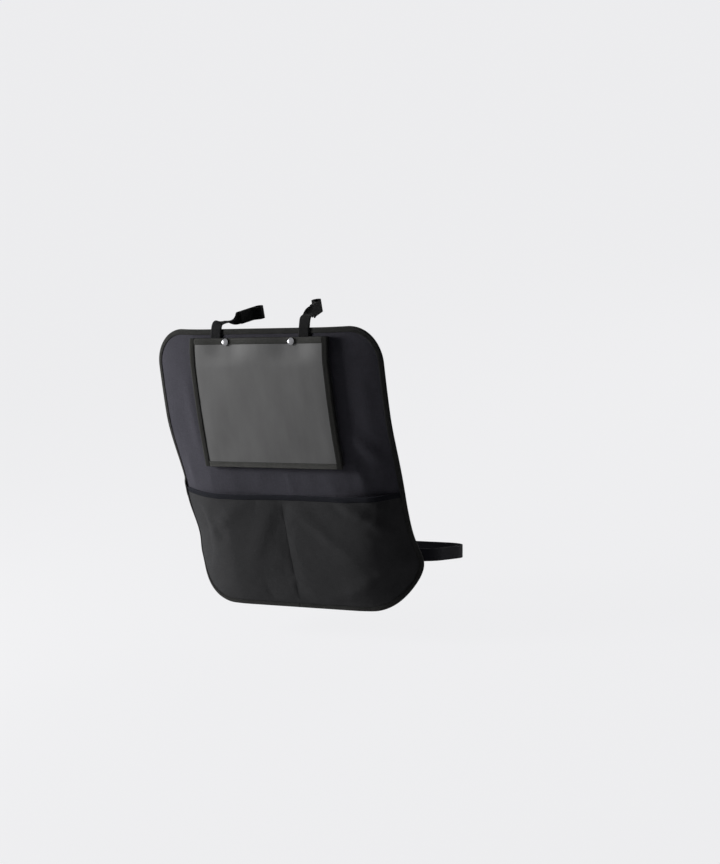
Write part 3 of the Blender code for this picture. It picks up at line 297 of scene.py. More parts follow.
def woven(name, colour, thread, relief, roughness=0.9, rib=0.0, mottle=0.12, edge=None, selvedge=None):
    """Woven cloth or tape.

    Its warp and weft, thread apart, and a tape's ribs, rib apart, are a bump at their real pitch. Uneven
    threads and faint mottling vary its colour. A tape's crest is worn out to edge, and from selvedge on
    its edges are darkened as painted shade, for the shadow where its legs meet the cloth below.
    """
    material, nodes, links = new_finish(name)
    surface = nodes["Principled BSDF"]
    surface.inputs["Specular IOR Level"].default_value = 0.04
    surface.inputs["Sheen Weight"].default_value = 0.03
    surface.inputs["Sheen Roughness"].default_value = 0.45

    def math_node(operation, first, second=None, clamp=False):
        node = nodes.new("ShaderNodeMath")
        node.operation = operation
        node.use_clamp = clamp
        for socket, value in zip(node.inputs, (first, second)):
            if isinstance(value, (int, float)):
                socket.default_value = value
            elif value is not None:
                links.new(value, socket)
        return node.outputs[0]

    def noise(scale, detail, stretch):
        turned = nodes.new("ShaderNodeMapping")
        turned.inputs["Scale"].default_value = stretch
        links.new(cloth.outputs[0], turned.inputs[0])
        return noise_on(nodes, links, turned.outputs[0], scale, detail)

    cloth = nodes.new("ShaderNodeUVMap")
    cloth.uv_map = "threads"
    split = nodes.new("ShaderNodeSeparateXYZ")
    links.new(cloth.outputs[0], split.inputs[0])
    weft = math_node("SINE", math_node("MULTIPLY", split.outputs[0], math.pi / thread))
    warp = math_node("SINE", math_node("MULTIPLY", split.outputs[1], math.pi / thread))
    weave = math_node("MULTIPLY", weft, warp)
    if rib:
        cord = math_node("SINE", math_node("MULTIPLY", split.outputs[0], 2 * math.pi / rib))
        weave = math_node("ADD", math_node("MULTIPLY", weave, 0.35), cord)
    uneven = noise(900, 2, (1.0, 0.06, 1.0))
    slub = noise(900, 2, (0.06, 1.0, 1.0))
    patchy = noise(16, 4, (1.0, 1.0, 1.0))
    fine = noise(260, 3, (1.0, 1.0, 1.0))

    lit = math_node("ADD", math_node("MULTIPLY", uneven, 0.30), math_node("MULTIPLY", slub, 0.30))
    lit = math_node("ADD", lit, math_node("MULTIPLY", patchy, 2 * mottle))
    lit = math_node("ADD", lit, math_node("MULTIPLY", fine, 0.20))
    lit = math_node("ADD", lit, math_node("MULTIPLY", weave, 0.10))
    if edge:
        # The fold of a tape is rubbed paler along its crest, and its selvedges are darkened: painted shade,
        # for the shadow where the tape's legs meet the cloth below
        across = math_node("ABSOLUTE", split.outputs[1])
        rubbed = math_node("SUBTRACT", 1.0, math_node("DIVIDE", across, edge), clamp=True)
        lit = math_node("ADD", lit, math_node("MULTIPLY", math_node("MULTIPLY", rubbed, fine), 0.7))
    lit = math_node("ADD", lit, 0.60 - mottle)
    if edge:
        # Painted shade: the selvedges are darkened for the shadow along the tape's edges
        selvedge_shadow = math_node("MULTIPLY", math_node("SUBTRACT", across, selvedge), 900.0, clamp=True)
        lit = math_node("MULTIPLY", lit, math_node("SUBTRACT", 1.0, math_node("MULTIPLY", selvedge_shadow, 0.65)))
    shade = nodes.new("ShaderNodeMixRGB")
    shade.blend_type = "MULTIPLY"
    shade.inputs[0].default_value = 1.0
    shade.inputs[1].default_value = (*colour, 1.0)
    links.new(lit, shade.inputs[2])
    links.new(shade.outputs[0], surface.inputs["Base Color"])
    worn = math_node("ADD", math_node("MULTIPLY", patchy, 0.12), roughness - 0.06, clamp=True)
    links.new(worn, surface.inputs["Roughness"])
    rough_threads = math_node("ADD", math_node("ADD", uneven, slub), math_node("MULTIPLY", fine, 1.4))
    height = math_node("ADD", weave, rough_threads)
    bump = nodes.new("ShaderNodeBump")
    bump.inputs["Strength"].default_value = relief
    bump.inputs["Distance"].default_value = 0.0004
    links.new(height, bump.inputs["Height"])
    links.new(bump.outputs[0], surface.inputs["Normal"])
    return material


main_cloth = woven("main_cloth", (0.080, 0.078, 0.094), 0.00055, 0.55)


def panel_pattern(x, y):
    half_width, half_height = HALF_WIDTH - CUT_INSET, HALF_HEIGHT - CUT_INSET
    corners = (TOP_CORNER - CUT_INSET, BOTTOM_CORNER - CUT_INSET)
    return rounded_corners(2 * x * half_width, 2 * y * half_height, half_width, half_height, *corners)


def panel_shape(u, v):
    return laid(u, v, PANEL_THICKNESS / 2 + panel_relief(u, v))[0]


panel = cloth_piece(
    "back_panel_cloth",
    180,
    190,
    panel_pattern,
    panel_shape,
    PANEL_THICKNESS,
    main_cloth,
    ["back_panel"],
)

# Edge binding
# Black woven tape, 22 mm wide, folded in half over the panel's edge and sewn through all layers 8 mm in. It
# climbs over the kick pocket's cloth and over the ends of that pocket's own tape.

TAPE_THICKNESS, BINDING_WIDTH = 0.0008, 0.0222
# The binding's front leg stands this high on the panel, more over the pocket's tape, and less again below it
PANEL_LEG, OVER_POCKET, BELOW_TAPE = 0.0031, 0.0034, 0.0012
STITCH_PITCH, EDGE_SEAM_INSET = 0.0034, 0.0080
BACK_STITCH_RISE = -0.0010

tape = woven(
    "binding_tape", (0.052, 0.052, 0.050), 0.00045, 0.6, rib=0.0011, mottle=0.3, edge=0.004, selvedge=0.0103
)


def edge_line(inset):
    """The mat's outline, inset, as a function of the length along it from the middle of the foot."""
    top, bottom = TOP_CORNER, BOTTOM_CORNER
    # Each run: its length, its corner radius if any, the point it starts from or turns about, and its heading
    runs = [
        (HALF_WIDTH - bottom, None, (0, -HALF_HEIGHT), 0),
        (bottom * math.pi / 2, bottom, (HALF_WIDTH - bottom, bottom - HALF_HEIGHT), -math.pi / 2),
        (2 * HALF_HEIGHT - top - bottom, None, (HALF_WIDTH, bottom - HALF_HEIGHT), math.pi / 2),
        (top * math.pi / 2, top, (HALF_WIDTH - top, HALF_HEIGHT - top), 0),
        (2 * (HALF_WIDTH - top), None, (HALF_WIDTH - top, HALF_HEIGHT), math.pi),
        (top * math.pi / 2, top, (top - HALF_WIDTH, HALF_HEIGHT - top), math.pi / 2),
        (2 * HALF_HEIGHT - top - bottom, None, (-HALF_WIDTH, HALF_HEIGHT - top), 3 * math.pi / 2),
        (bottom * math.pi / 2, bottom, (bottom - HALF_WIDTH, bottom - HALF_HEIGHT), math.pi),
        (HALF_WIDTH - bottom, None, (bottom - HALF_WIDTH, -HALF_HEIGHT), 0),
    ]
    total = sum(run[0] for run in runs)

    def at(s):
        s = np.asarray(s, float) % total
        s = np.where(total - s < 1e-9, 0, s)
        u, v = np.zeros_like(s), np.zeros_like(s)
        start = 0.0
        for length, radius, place, turn in runs:
            here = (s >= start) & (s <= start + length + 1e-12)
            t = s - start
            if radius:
                angle = turn + t / radius
                out_u, out_v = np.cos(angle), np.sin(angle)
                u = np.where(here, place[0] + (radius - inset) * out_u, u)
                v = np.where(here, place[1] + (radius - inset) * out_v, v)
            else:
                u = np.where(here, place[0] + t * math.cos(turn) - inset * math.sin(turn), u)
                v = np.where(here, place[1] + t * math.sin(turn) + inset * math.cos(turn), v)
            start += length
        return u, v

    return at, total


def fold(across, low, high):
    """A tape folded over an edge, between two legs: how far in from the edge a point lies, and how high."""
    radius = (high - low) / 2
    turn = np.clip(across / radius, -math.pi / 2, math.pi / 2)
    leg = np.maximum(np.abs(across) - radius * math.pi / 2, 0)
    inset = TAPE_THICKNESS / 2 + radius * (1 - np.cos(turn)) + leg
    return inset, (low + high) / 2 + radius * np.sin(turn)


def binding_top(v):
    """The height of the binding's front leg, which steps up over the kick pocket and the ends of its tape."""
    over_pocket = eased((-0.026 - v) / 0.014)
    below_tape = eased((-0.058 - v) / 0.014)
    return PANEL_LEG + OVER_POCKET * over_pocket - BELOW_TAPE * below_tape


edge_at, edge_length = edge_line(0.0)
inner_step = 0.001
inner_at, _ = edge_line(inner_step)


def binding_pattern(x, y):
    return (x + 0.5) * edge_length, y * BINDING_WIDTH


def binding_shape(s, across):
    u0, v0 = edge_at(s)
    u1, v1 = inner_at(s)
    inset, rise = fold(across, -0.0006, binding_top(v0))
    steps = inset / inner_step
    u, v = u0 + (u1 - u0) * steps, v0 + (v1 - v0) * steps
    wobble = 0.00025 * np.sin(s / 0.011) * np.sin(s / 0.047 + 1.0) * np.minimum(inset / 0.006, 1)
    return laid(u, v, rise + np.sign(across) * wobble)[0]


binding = cloth_piece(
    "edge_binding_tape",
    560,
    14,
    binding_pattern,
    binding_shape,
    TAPE_THICKNESS,
    tape,
    ["edge_binding"],
)

thread_finish = woven("sewing_thread", (0.030, 0.030, 0.031), 0.0002, 0.3)


def sewn(name, places, normals, length=0.0024, width=0.00042, sunk=0.3):
    """A run of lock stitches: each a short rounded thread that dips into the cloth at both ends."""
    mesh = bmesh.new()
    threads = mesh.loops.layers.uv.new("threads")
    places, normals = np.asarray(places), np.asarray(normals)
    for i in range(len(places) - 1):
        along = Vector(places[i + 1] - places[i])
        if along.length < 1e-6:
            continue
        middle = Vector((places[i] + places[i + 1]) / 2)
        out = Vector(normals[i])
        aside = out.cross(along).normalized()
        out = along.normalized().cross(aside)
        turn = Matrix((along.normalized(), aside, out)).transposed().to_4x4()
        size = Matrix.Diagonal((min(length, along.length * 0.86) / 2, width / 2, width / 2, 1))
        middle += out * width * (0.5 - sunk)
        placed = Matrix.Translation(middle) @ turn @ size
        bmesh.ops.create_icosphere(mesh, subdivisions=1, radius=1, matrix=placed)
    for face in mesh.faces:
        for loop in face.loops:
            loop[threads].uv = (loop.vert.co.x, loop.vert.co.z)
    return made(name, mesh, thread_finish)


def seam_on_mat(name, u, v, rise, way=1):
    """Stitches along pattern points, on the mat's front or, with way -1, on its back."""
    places, out = laid(np.asarray(u, float), np.asarray(v, float), rise)
    return sewn(name, places, way * out)


seam_at, _ = edge_line(EDGE_SEAM_INSET)
seam_u, seam_v = seam_at(np.arange(0, edge_length, STITCH_PITCH))
front_seam = seam_on_mat("edge_seam_front", seam_u, seam_v, binding_top(seam_v) + TAPE_THICKNESS / 2)
back_seam = seam_on_mat("edge_seam_back", seam_u, seam_v, np.full_like(seam_u, BACK_STITCH_RISE), way=-1)

# Kick pocket
# One width of plain woven polyester, 1 mm thick, caught in the edge binding at its sides and foot and sewn
# down its middle. Its slack is let go in a short cloth simulation, pinned at those seams.

pocket_cloth = woven("pocket_cloth", (0.055, 0.055, 0.057), 0.00050, 0.5)
POCKET_TOP, POCKET_DEPTH = -0.046, 0.239
POCKET_THICKNESS, POCKET_RISE = 0.0010, 0.0040
# The tape of its mouth: how wide a leg is, what the fold takes, and where its two legs lie
MOUTH_TAPE, MOUTH_FOLD, MOUTH_LEGS = 0.0083, 0.0018, (0.0031, 0.0049)


def pocket_lift(u, v):
    """The cloth's slack: the left half rises gently from its edge, and the right one stays full near it."""
    depth = np.clip((POCKET_TOP - v) / POCKET_DEPTH, 0, 1)
    left = 0.0054 * eased(-u / 0.110)
    right = 0.0056 * np.clip(u / 0.200, 0, 1) ** 1.8
    lift = (left + right) * (1 - depth**2)
    # The belly, whose middle lies near the right edge
    lift = lift + 0.0092 * np.exp(-(((u - 0.226) / 0.055) ** 2) - ((v + 0.130) / 0.064) ** 2)
    inward = edge_distance(u, v)
    edge_rise = np.where(u < 0, 0.110, 0.040)
    seam = np.exp(-np.abs(u) / np.where(u < 0, 0.0016, 0.0110))
    puff = 0.0008 * (1 - seam) * eased((inward - 0.012) / 0.02) * eased((POCKET_TOP - 0.010 - v) / 0.020)
    return lift * eased((inward - 0.0185) / edge_rise) + puff


def pocket_folds(u, v):
    """Soft folds that fan out from the top of the middle seam, and one across the lower right corner."""
    # Each fold: where it starts and ends, how high it stands and how wide it is
    folds = (
        ((-0.008, -0.054), (-0.108, -0.208), 0.0025, 0.020),
        ((-0.070, -0.046), (-0.232, -0.166), 0.0030, 0.017),
        ((0.010, -0.056), (0.168, -0.184), 0.0036, 0.016),
        ((0.118, -0.040), (0.270, -0.140), 0.0040, 0.013),
        ((0.180, -0.040), (0.268, -0.100), 0.0018, 0.011),
        ((0.085, -0.280), (0.275, -0.160), 0.0042, 0.019),
    )
    height = sum(ridge(u, v, *crease) for crease in folds)
    return height * eased(np.abs(u) / 0.020) * eased((edge_distance(u, v) - 0.0150) / 0.032)


def pocket_pattern(x, y):
    half_width, foot = HALF_WIDTH - CUT_INSET, -HALF_HEIGHT + CUT_INSET
    top = POCKET_TOP - 0.0011
    # The columns stand closer together at the middle seam
    u = half_width * np.sign(x) * (0.3 * np.abs(2 * x) + 0.7 * np.abs(2 * x) ** 1.6)
    v = foot + (y + 0.5) * (top - foot)
    return rounded_corners(u, v, half_width, -foot, 0.01, BOTTOM_CORNER - CUT_INSET)


def pocket_shape(u, v):
    return laid(u, v, POCKET_RISE + pocket_lift(u, v))[0]


def relaxed(piece, pinned, cap, out, room, frames=22, slack=0.006):
    """Lets a pinned sheet settle. No point moves further than cap, nor further in than the room behind it."""
    before = np.array([vertex.co for vertex in piece.data.vertices])
    group = piece.vertex_groups.new(name="sewn_down")
    for i, hold in enumerate(pinned):
        if hold > 0:
            group.add([i], float(hold), "REPLACE")
    thickness = piece.modifiers["thickness"]
    thickness.show_viewport = thickness.show_render = False
    cloth = piece.modifiers.new("settle", "CLOTH")
    cloth.settings.vertex_group_mass = "sewn_down"
    cloth.settings.quality = 6
    cloth.settings.mass = 0.02
    cloth.settings.tension_stiffness = 20
    cloth.settings.compression_stiffness = 20
    cloth.settings.shear_stiffness = 8
    cloth.settings.bending_stiffness = 0.12
    cloth.settings.tension_damping = cloth.settings.compression_damping = 10
    cloth.settings.air_damping = 3
    cloth.settings.shrink_min = -slack
    cloth.settings.effector_weights.gravity = 0.0
    cloth.settings.use_pressure = True
    cloth.settings.uniform_pressure_force = 0.15
    cloth.collision_settings.use_collision = False
    scene = bpy.context.scene
    cloth.point_cache.frame_start, cloth.point_cache.frame_end = 1, frames
    for number in range(1, frames + 1):
        scene.frame_set(number)
    settled = piece.evaluated_get(bpy.context.evaluated_depsgraph_get())
    after = np.array([vertex.co for vertex in settled.data.vertices])
    piece.modifiers.remove(cloth)
    scene.frame_set(1)
    thickness.show_viewport = thickness.show_render = True
    move = after - before
    far = np.linalg.norm(move, axis=1, keepdims=True)
    move *= np.minimum(1, cap / np.maximum(far, 1e-9))
    inward = np.minimum(np.sum(move * out, axis=1) + room, 0)
    move -= out * inward[:, None]
    mesh = bmesh.new()
    mesh.from_mesh(piece.data)
    for vertex, point in zip(mesh.verts, before + move):
        vertex.co = point
    free = [vertex for vertex, hold in zip(mesh.verts, pinned) if hold == 0]
    for _ in range(10):
        bmesh.ops.smooth_vert(mesh, verts=free, factor=0.5, use_axis_x=True, use_axis_y=True, use_axis_z=True)
    mesh.to_mesh(piece.data)
    mesh.free()
    piece.vertex_groups.clear()
    piece.data.update()


pocket = cloth_piece(
    "kick_pocket_cloth",
    220,
    76,
    pocket_pattern,
    pocket_shape,
    POCKET_THICKNESS,
    pocket_cloth,
    ["kick_pocket"],
)
flat_u = np.zeros(len(pocket.data.vertices))
flat_v = np.zeros(len(pocket.data.vertices))
for loop, place in zip(pocket.data.loops, pocket.data.uv_layers["threads"].data):
    flat_u[loop.vertex_index], flat_v[loop.vertex_index] = place.uv
_, out = laid(flat_u, flat_v, 0 * flat_u)
# It is held under the binding, at the middle seam and under the tape of its mouth
at_edge = edge_distance(flat_u, flat_v) < 0.0115
held = at_edge | (np.abs(flat_u) < 0.0017) | (flat_v > POCKET_TOP - 0.0095)
room = 0.0004 + 0.7 * np.maximum(pocket_lift(flat_u, flat_v), 0)
relaxed(pocket, held.astype(float), 0.0025, out, room)
for vertex, way, height in zip(pocket.data.vertices, out, pocket_folds(flat_u, flat_v)):
    vertex.co += Vector(way * height)


def pocket_tape_pattern(x, y):
    return 2 * x * (HALF_WIDTH - 0.0020), 2 * y * (MOUTH_TAPE + MOUTH_FOLD)


def pocket_tape_shape(u, across):
    inset, rise = fold(across, *MOUTH_LEGS)
    v = POCKET_TOP - inset
    at_mouth = np.minimum(v, POCKET_TOP - 0.004)
    wobble = 0.00022 * np.sin(u / 0.009) * np.sin(u / 0.031) * np.sign(across)
    return laid(u, v, rise + pocket_lift(u, at_mouth) + pocket_folds(u, at_mouth) + wobble)[0]


pocket_tape_finish = woven(
    "pocket_tape", (0.024, 0.025, 0.031), 0.00045, 0.6, rib=0.0010, edge=0.003, selvedge=0.0093
)
pocket_tape = cloth_piece(
    "kick_pocket_tape",
    300,
    12,
    pocket_tape_pattern,
    pocket_tape_shape,
    TAPE_THICKNESS,
    pocket_tape_finish,
    ["kick_pocket_binding"],
)
along = np.arange(-0.262, 0.262, STITCH_PITCH)
level = np.full_like(along, POCKET_TOP - 0.0066)
tape_top = MOUTH_LEGS[1] + TAPE_THICKNESS / 2 + pocket_lift(along, level) + pocket_folds(along, level)
tape_seam = seam_on_mat("kick_pocket_tape_seam", along, level, tape_top)
down = np.arange(POCKET_TOP - 0.010, -0.276, -STITCH_PITCH)
cloth_top = POCKET_RISE + POCKET_THICKNESS / 2 + pocket_lift(0 * down, down)
middle_seam = seam_on_mat("kick_pocket_middle_seam", 0 * down, down, cloth_top)
middle_seam_back = seam_on_mat("kick_pocket_middle_seam_back", 0 * down, down, 0 * down, way=-1)

# Tablet pocket
# A sheet of hazy clear vinyl, 0.5 mm thick, with tapes folded over its four edges. A narrow cloth strip
# stands it off the mat at its sides and foot, and the wide hem along its top dips to the mat at two snaps.

OUTER_HALF, WINDOW_LOW, WINDOW_HIGH = 0.164, 0.013, 0.2675
FILM_INSET, FILM_THICKNESS, FILM_RISE = 0.0011, 0.0005, 0.00385
STAND_OFF = 0.009
# What a window tape's fold takes, where its two legs lie, and where its stitches lie
WINDOW_FOLD, WINDOW_LEGS, WINDOW_STITCHES = 0.0008, (0.0031, 0.0046), 0.0051
SNAP_U, SNAP_V = 0.079, 0.260
# Round each snap the front dips by this much, over this flat, and rises again over this reach
SNAP_DIP, DIP_FLAT, DIP_REACH = 0.0052, 0.0105, 0.036


def window_stand(u, v):
    """How far the pocket's front stands off, with a dip at each snap."""
    across = np.maximum(np.abs(np.abs(u) - SNAP_U) - DIP_FLAT, 0) / DIP_REACH
    down = eased((SNAP_V - DIP_FLAT - v) / DIP_REACH)
    return STAND_OFF - SNAP_DIP * np.exp(-(across**2)) * (1 - down)


def film_wave(u, v):
    """The film's slow waves, which die out at its tapes."""
    wave = 0.0005 * np.sin(u / 0.034 + 0.6) * np.sin(v / 0.052) + 0.0004 * np.sin((u + 1.7 * v) / 0.045)
    ring = np.minimum(OUTER_HALF - np.abs(u), np.minimum(v - WINDOW_LOW, WINDOW_HIGH - v))
    return wave * eased((ring - 0.012) / 0.03)


def graded(nodes, links, tone_from, low, high, dull_from, dull, bump_from, strength, depth):
    """Lets a finish's colour, roughness and bump each follow a texture, and returns its surface and bump."""
    surface = nodes["Principled BSDF"]
    tone = nodes.new("ShaderNodeMixRGB")
    tone.inputs[1].default_value = (*low, 1)
    tone.inputs[2].default_value = (*high, 1)
    roughness = nodes.new("ShaderNodeMapRange")
    roughness.inputs["To Min"].default_value, roughness.inputs["To Max"].default_value = dull
    bump = nodes.new("ShaderNodeBump")
    bump.inputs["Strength"].default_value = strength
    bump.inputs["Distance"].default_value = depth
    links.new(tone_from, tone.inputs[0])
    links.new(tone.outputs[0], surface.inputs["Base Color"])
    links.new(dull_from, roughness.inputs["Value"])
    links.new(roughness.outputs[0], surface.inputs["Roughness"])
    links.new(bump_from, bump.inputs["Height"])
    links.new(bump.outputs[0], surface.inputs["Normal"])
    return surface, bump


vinyl, nodes, links = new_finish("hazy_vinyl")
position = nodes.new("ShaderNodeUVMap")
position.uv_map = "threads"
streaks = nodes.new("ShaderNodeMapping")
streaks.inputs["Scale"].default_value = (1.0, 0.35, 1.0)
links.new(position.outputs[0], streaks.inputs[0])
haze = noise_on(nodes, links, streaks.outputs[0], 26, 3)
# Its tone follows the noise: partly the film's uneven haze, partly painted reflection, the faint bright
# patches where the film catches the light
haze_and_painted_reflection = nodes.new("ShaderNodeMapRange")
haze_and_painted_reflection.inputs["From Min"].default_value = 0.3
haze_and_painted_reflection.inputs["From Max"].default_value = 0.7
links.new(haze, haze_and_painted_reflection.inputs["Value"])
surface, _ = graded(
    nodes,
    links,
    haze_and_painted_reflection.outputs[0],
    (0.118, 0.118, 0.117),
    (0.154, 0.154, 0.153),
    haze,
    (0.55, 0.70),
    haze,
    0.15,
    0.001,
)
surface.inputs["Alpha"].default_value = 0.90
surface.inputs["IOR"].default_value = 1.5
surface.inputs["Specular IOR Level"].default_value = 0.4


def film_pattern(x, y):
    height = WINDOW_HIGH - WINDOW_LOW - 2 * FILM_INSET
    return 2 * x * (OUTER_HALF - FILM_INSET), WINDOW_LOW + FILM_INSET + (y + 0.5) * height


def film_shape(u, v):
    return laid(u, v, FILM_RISE + window_stand(u, v) + film_wave(u, v))[0]


film = cloth_piece(
    "window_vinyl",
    110,
    86,
    film_pattern,
    film_shape,
    FILM_THICKNESS,
    vinyl,
    ["window_film"],
)


def window_tape_finish(name, colour, mottle):
    """The woven finish of a window tape, whose crest is worn and whose selvedges are darkened as painted
    shade.
    """
    return woven(name, colour, 0.00045, 0.6, rib=0.0011, mottle=mottle, edge=0.004, selvedge=0.0102)


# One black tape in three copies: the hem's and the foot's are painted lighter, painted light, and the sides'
# darker, painted shade, for how the key lamp falls on each
hem_tape_painted_light = window_tape_finish("window_hem_tape_painted_light", (0.082, 0.082, 0.077), 0.25)
foot_tape_painted_light = window_tape_finish("window_foot_tape", (0.102, 0.102, 0.096), 0.25)
side_tape_painted_shade = window_tape_finish("window_side_tape_painted_shade", (0.042, 0.042, 0.039), 0.12)


def window_tape(name, start, end, inward, width, finish, node):
    """A tape folded over one edge of the film, from start to end, with legs as wide as width."""
    start, end, inward = np.array(start), np.array(end), np.array(inward)
    length = float(np.linalg.norm(end - start))

    def pattern(x, y):
        return (x + 0.5) * length, 2 * y * (width + WINDOW_FOLD)

    def shape(s, across):
        inset, rise = fold(across, *WINDOW_LEGS)
        place = start + np.outer(s / length, end - start) + np.outer(inset, inward)
        wobble = 0.00018 * np.sin(s / 0.008) * np.sin(s / 0.029) * np.sign(across)
        u, v = place[:, 0], place[:, 1]
        return laid(u, v, rise + window_stand(u, v) + wobble)[0]

    count = round(length / 0.0021)
    return cloth_piece(name, count, 12, pattern, shape, TAPE_THICKNESS, finish, [node])


low_left, low_right = (-OUTER_HALF, WINDOW_LOW), (OUTER_HALF, WINDOW_LOW)
high_left, high_right = (-OUTER_HALF, WINDOW_HIGH), (OUTER_HALF, WINDOW_HIGH)
left_tape = window_tape(
    "window_left_tape", low_left, high_left, (1, 0), 0.0110, side_tape_painted_shade, "window_left_binding"
)
right_tape = window_tape(
    "window_right_tape", low_right, high_right, (-1, 0), 0.0110, side_tape_painted_shade, "window_right_binding"
)
# The foot tape and the hem end at the side tapes
inner_half = OUTER_HALF - 0.0113
foot_ends = (-inner_half, WINDOW_LOW), (inner_half, WINDOW_LOW)
hem_ends = (-inner_half, WINDOW_HIGH), (inner_half, WINDOW_HIGH)
foot_tape = window_tape("window_foot_tape", *foot_ends, (0, 1), 0.0100, foot_tape_painted_light, "window_foot_binding")
top_hem = window_tape("window_top_hem_tape", *hem_ends, (0, -1), 0.0105, hem_tape_painted_light, "window_top_hem")

run_v = np.arange(0.016, 0.266, STITCH_PITCH)
run_u = np.arange(-0.150, 0.150, STITCH_PITCH)
side_seam = OUTER_HALF - 0.0085
for name, u, v in (
    ("window_left_seam", 0 * run_v - side_seam, run_v),
    ("window_right_seam", 0 * run_v + side_seam, run_v),
    ("window_foot_seam", run_u, 0 * run_u + WINDOW_LOW + 0.0080),
    ("window_hem_seam", run_u, 0 * run_u + WINDOW_HIGH - 0.0087),
):
    seam_on_mat(name, u, v, WINDOW_STITCHES + window_stand(u, v))

gusset_cloth = woven("gusset_cloth", (0.030, 0.030, 0.031), 0.00045, 0.5)
wall_half, wall_low, wall_height, wall_bend = 0.1625, 0.0145, 0.0096, 0.006
wall_run = WINDOW_HIGH - wall_low - wall_bend
wall_arc = wall_bend * math.pi / 2
wall_foot = 2 * (wall_half - wall_bend)
wall_length = 2 * wall_run + 2 * wall_arc + wall_foot


def wall_line(s):
    """The gusset's route round the pocket, down the left, along the foot and up the right."""
    half = np.abs(s - wall_length / 2)
    side = np.sign(s - wall_length / 2)
    turn = np.clip((half - wall_foot / 2) / wall_bend, 0, math.pi / 2)
    u = np.minimum(half, wall_foot / 2) + wall_bend * np.sin(turn)
    v = wall_low + wall_bend * (1 - np.cos(turn)) + np.maximum(half - wall_foot / 2 - wall_arc, 0)
    return side * u, v


def gusset_pattern(x, y):
    return (x + 0.5) * wall_length, (y + 0.5) * wall_height


def gusset_shape(s, up):
    u, v = wall_line(s)
    share = up / wall_height
    bulge = 0.0009 * np.sin(math.pi * share) - TAPE_THICKNESS / 2
    on_side = np.abs(s - wall_length / 2) > wall_foot / 2 + wall_arc / 2
    u = u + np.where(on_side, np.sign(u) * bulge, 0)
    v = v - np.where(on_side, 0, bulge)
    return laid(u, v, 0.0028 + share * (window_stand(u, v) - 0.0006))[0]


gusset_run = np.arange(0.004, wall_length - 0.004, STITCH_PITCH)
gusset_u, gusset_v = wall_line(gusset_run)
seam_on_mat("window_gusset_seam_back", gusset_u, gusset_v, 0 * gusset_run, way=-1)
gusset = cloth_piece(
    "window_gusset_strip",
    300,
    6,
    gusset_pattern,
    gusset_shape,
    TAPE_THICKNESS,
    gusset_cloth,
    ["window_gusset"],
)

# Snap fasteners
# Two nickel-plated ring snaps hold the tablet pocket shut. A domed cap, 15 mm across, shows on the hem, and
# rivets the socket behind it; the stud stands on the mat, held by a flat post on the mat's back.

nickel, nodes, links = new_finish("plated_nickel")
place = nodes.new("ShaderNodeTexCoord").outputs["Object"]
grain = noise_on(nodes, links, place, 1400, 4)
cloud = noise_on(nodes, links, place, 220)
dark, light = (0.17, 0.17, 0.175), (0.29, 0.29, 0.30)
surface, _ = graded(nodes, links, cloud, dark, light, grain, (0.18, 0.34), grain, 0.08, 0.0002)
surface.inputs["Metallic"].default_value = 1.0


def on_mat(u, v):
    """A frame on the mat's back face whose Z points out towards its front."""
    spot, out = laid(np.array(u), np.array(v), np.array(0.0))
    aside, _ = laid(np.array(u + 1e-4), np.array(v), np.array(0.0))
    across = Vector(aside - spot).normalized()
    out = Vector(out)
    frame_here = Matrix((across, out.cross(across), out)).transposed().to_4x4()
    frame_here.translation = Vector(spot)
    return frame_here


def turned(profile, segments=64):
    """A profile of (radius, height) points turned about Z."""
    mesh = bmesh.new()
    line = [mesh.verts.new((radius, 0, height)) for radius, height in profile]
    edges = [mesh.edges.new(pair) for pair in zip(line, line[1:])]
    axis = {"axis": (0, 0, 1), "cent": (0, 0, 0)}
    bmesh.ops.spin(mesh, geom=line + edges, **axis, angle=2 * math.pi, steps=segments, use_merge=True)
    bmesh.ops.remove_doubles(mesh, verts=mesh.verts, dist=1e-6)
    bmesh.ops.recalc_face_normals(mesh, faces=mesh.faces)
    return mesh


# The cap's profile: a flat foot, a rolled rim and a low dome on it
cap_foot, cap_rim, cap_radius = 0.0097, 0.0013, 0.0075
dome_radius, dome_height = 0.0069, 0.0018
dome = [(0, cap_foot), (0.0068, cap_foot), (0.0073, cap_foot + 0.0002), (cap_radius, cap_foot + 0.0006)]
dome += [(0.00735, cap_foot + 0.0010), (0.0070, cap_foot + cap_rim)]
for turn in np.linspace(0.10, math.pi / 2 - 0.02, 14):
    dome.append((dome_radius * math.cos(turn), cap_foot + cap_rim + dome_height * math.sin(turn)))
dome.append((0, cap_foot + cap_rim + dome_height))


def faced(name, finish):
    """Gives a solid of the part its finish."""
    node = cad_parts[name]
    node.data.materials.clear()
    node.data.materials.append(finish)


for side, name in ((-1, "left"), (1, "right")):
    mesh = turned(dome)
    bmesh.ops.transform(mesh, matrix=on_mat(side * SNAP_U, SNAP_V), verts=mesh.verts)
    made(f"snap_dome_{name}", mesh, nickel, [f"snap_cap_{name}"])
    for part in ("socket", "stud", "post"):
        faced(f"snap_{part}_{name}", nickel)

# Upper straps
# Polyester webbing, 25 mm wide and 1.4 mm thick. Each is box-stitched to the mat over the top binding, bends
# forward, turns on edge and doubles back into an open eye, which hook-and-loop patches close.

WEBBING_WIDTH, WEBBING_THICKNESS = 0.025, 0.0014
STRAP_U, STRAP_RISE, STRAP_LEAN = 0.1055, 0.00505, 14
SHOULDER_REACH, TURN_LENGTH, BEND_PULL = 0.032, 0.028, 0.0192
SHOULDER_LEVEL = {"left": 0.294, "right": 0.304}
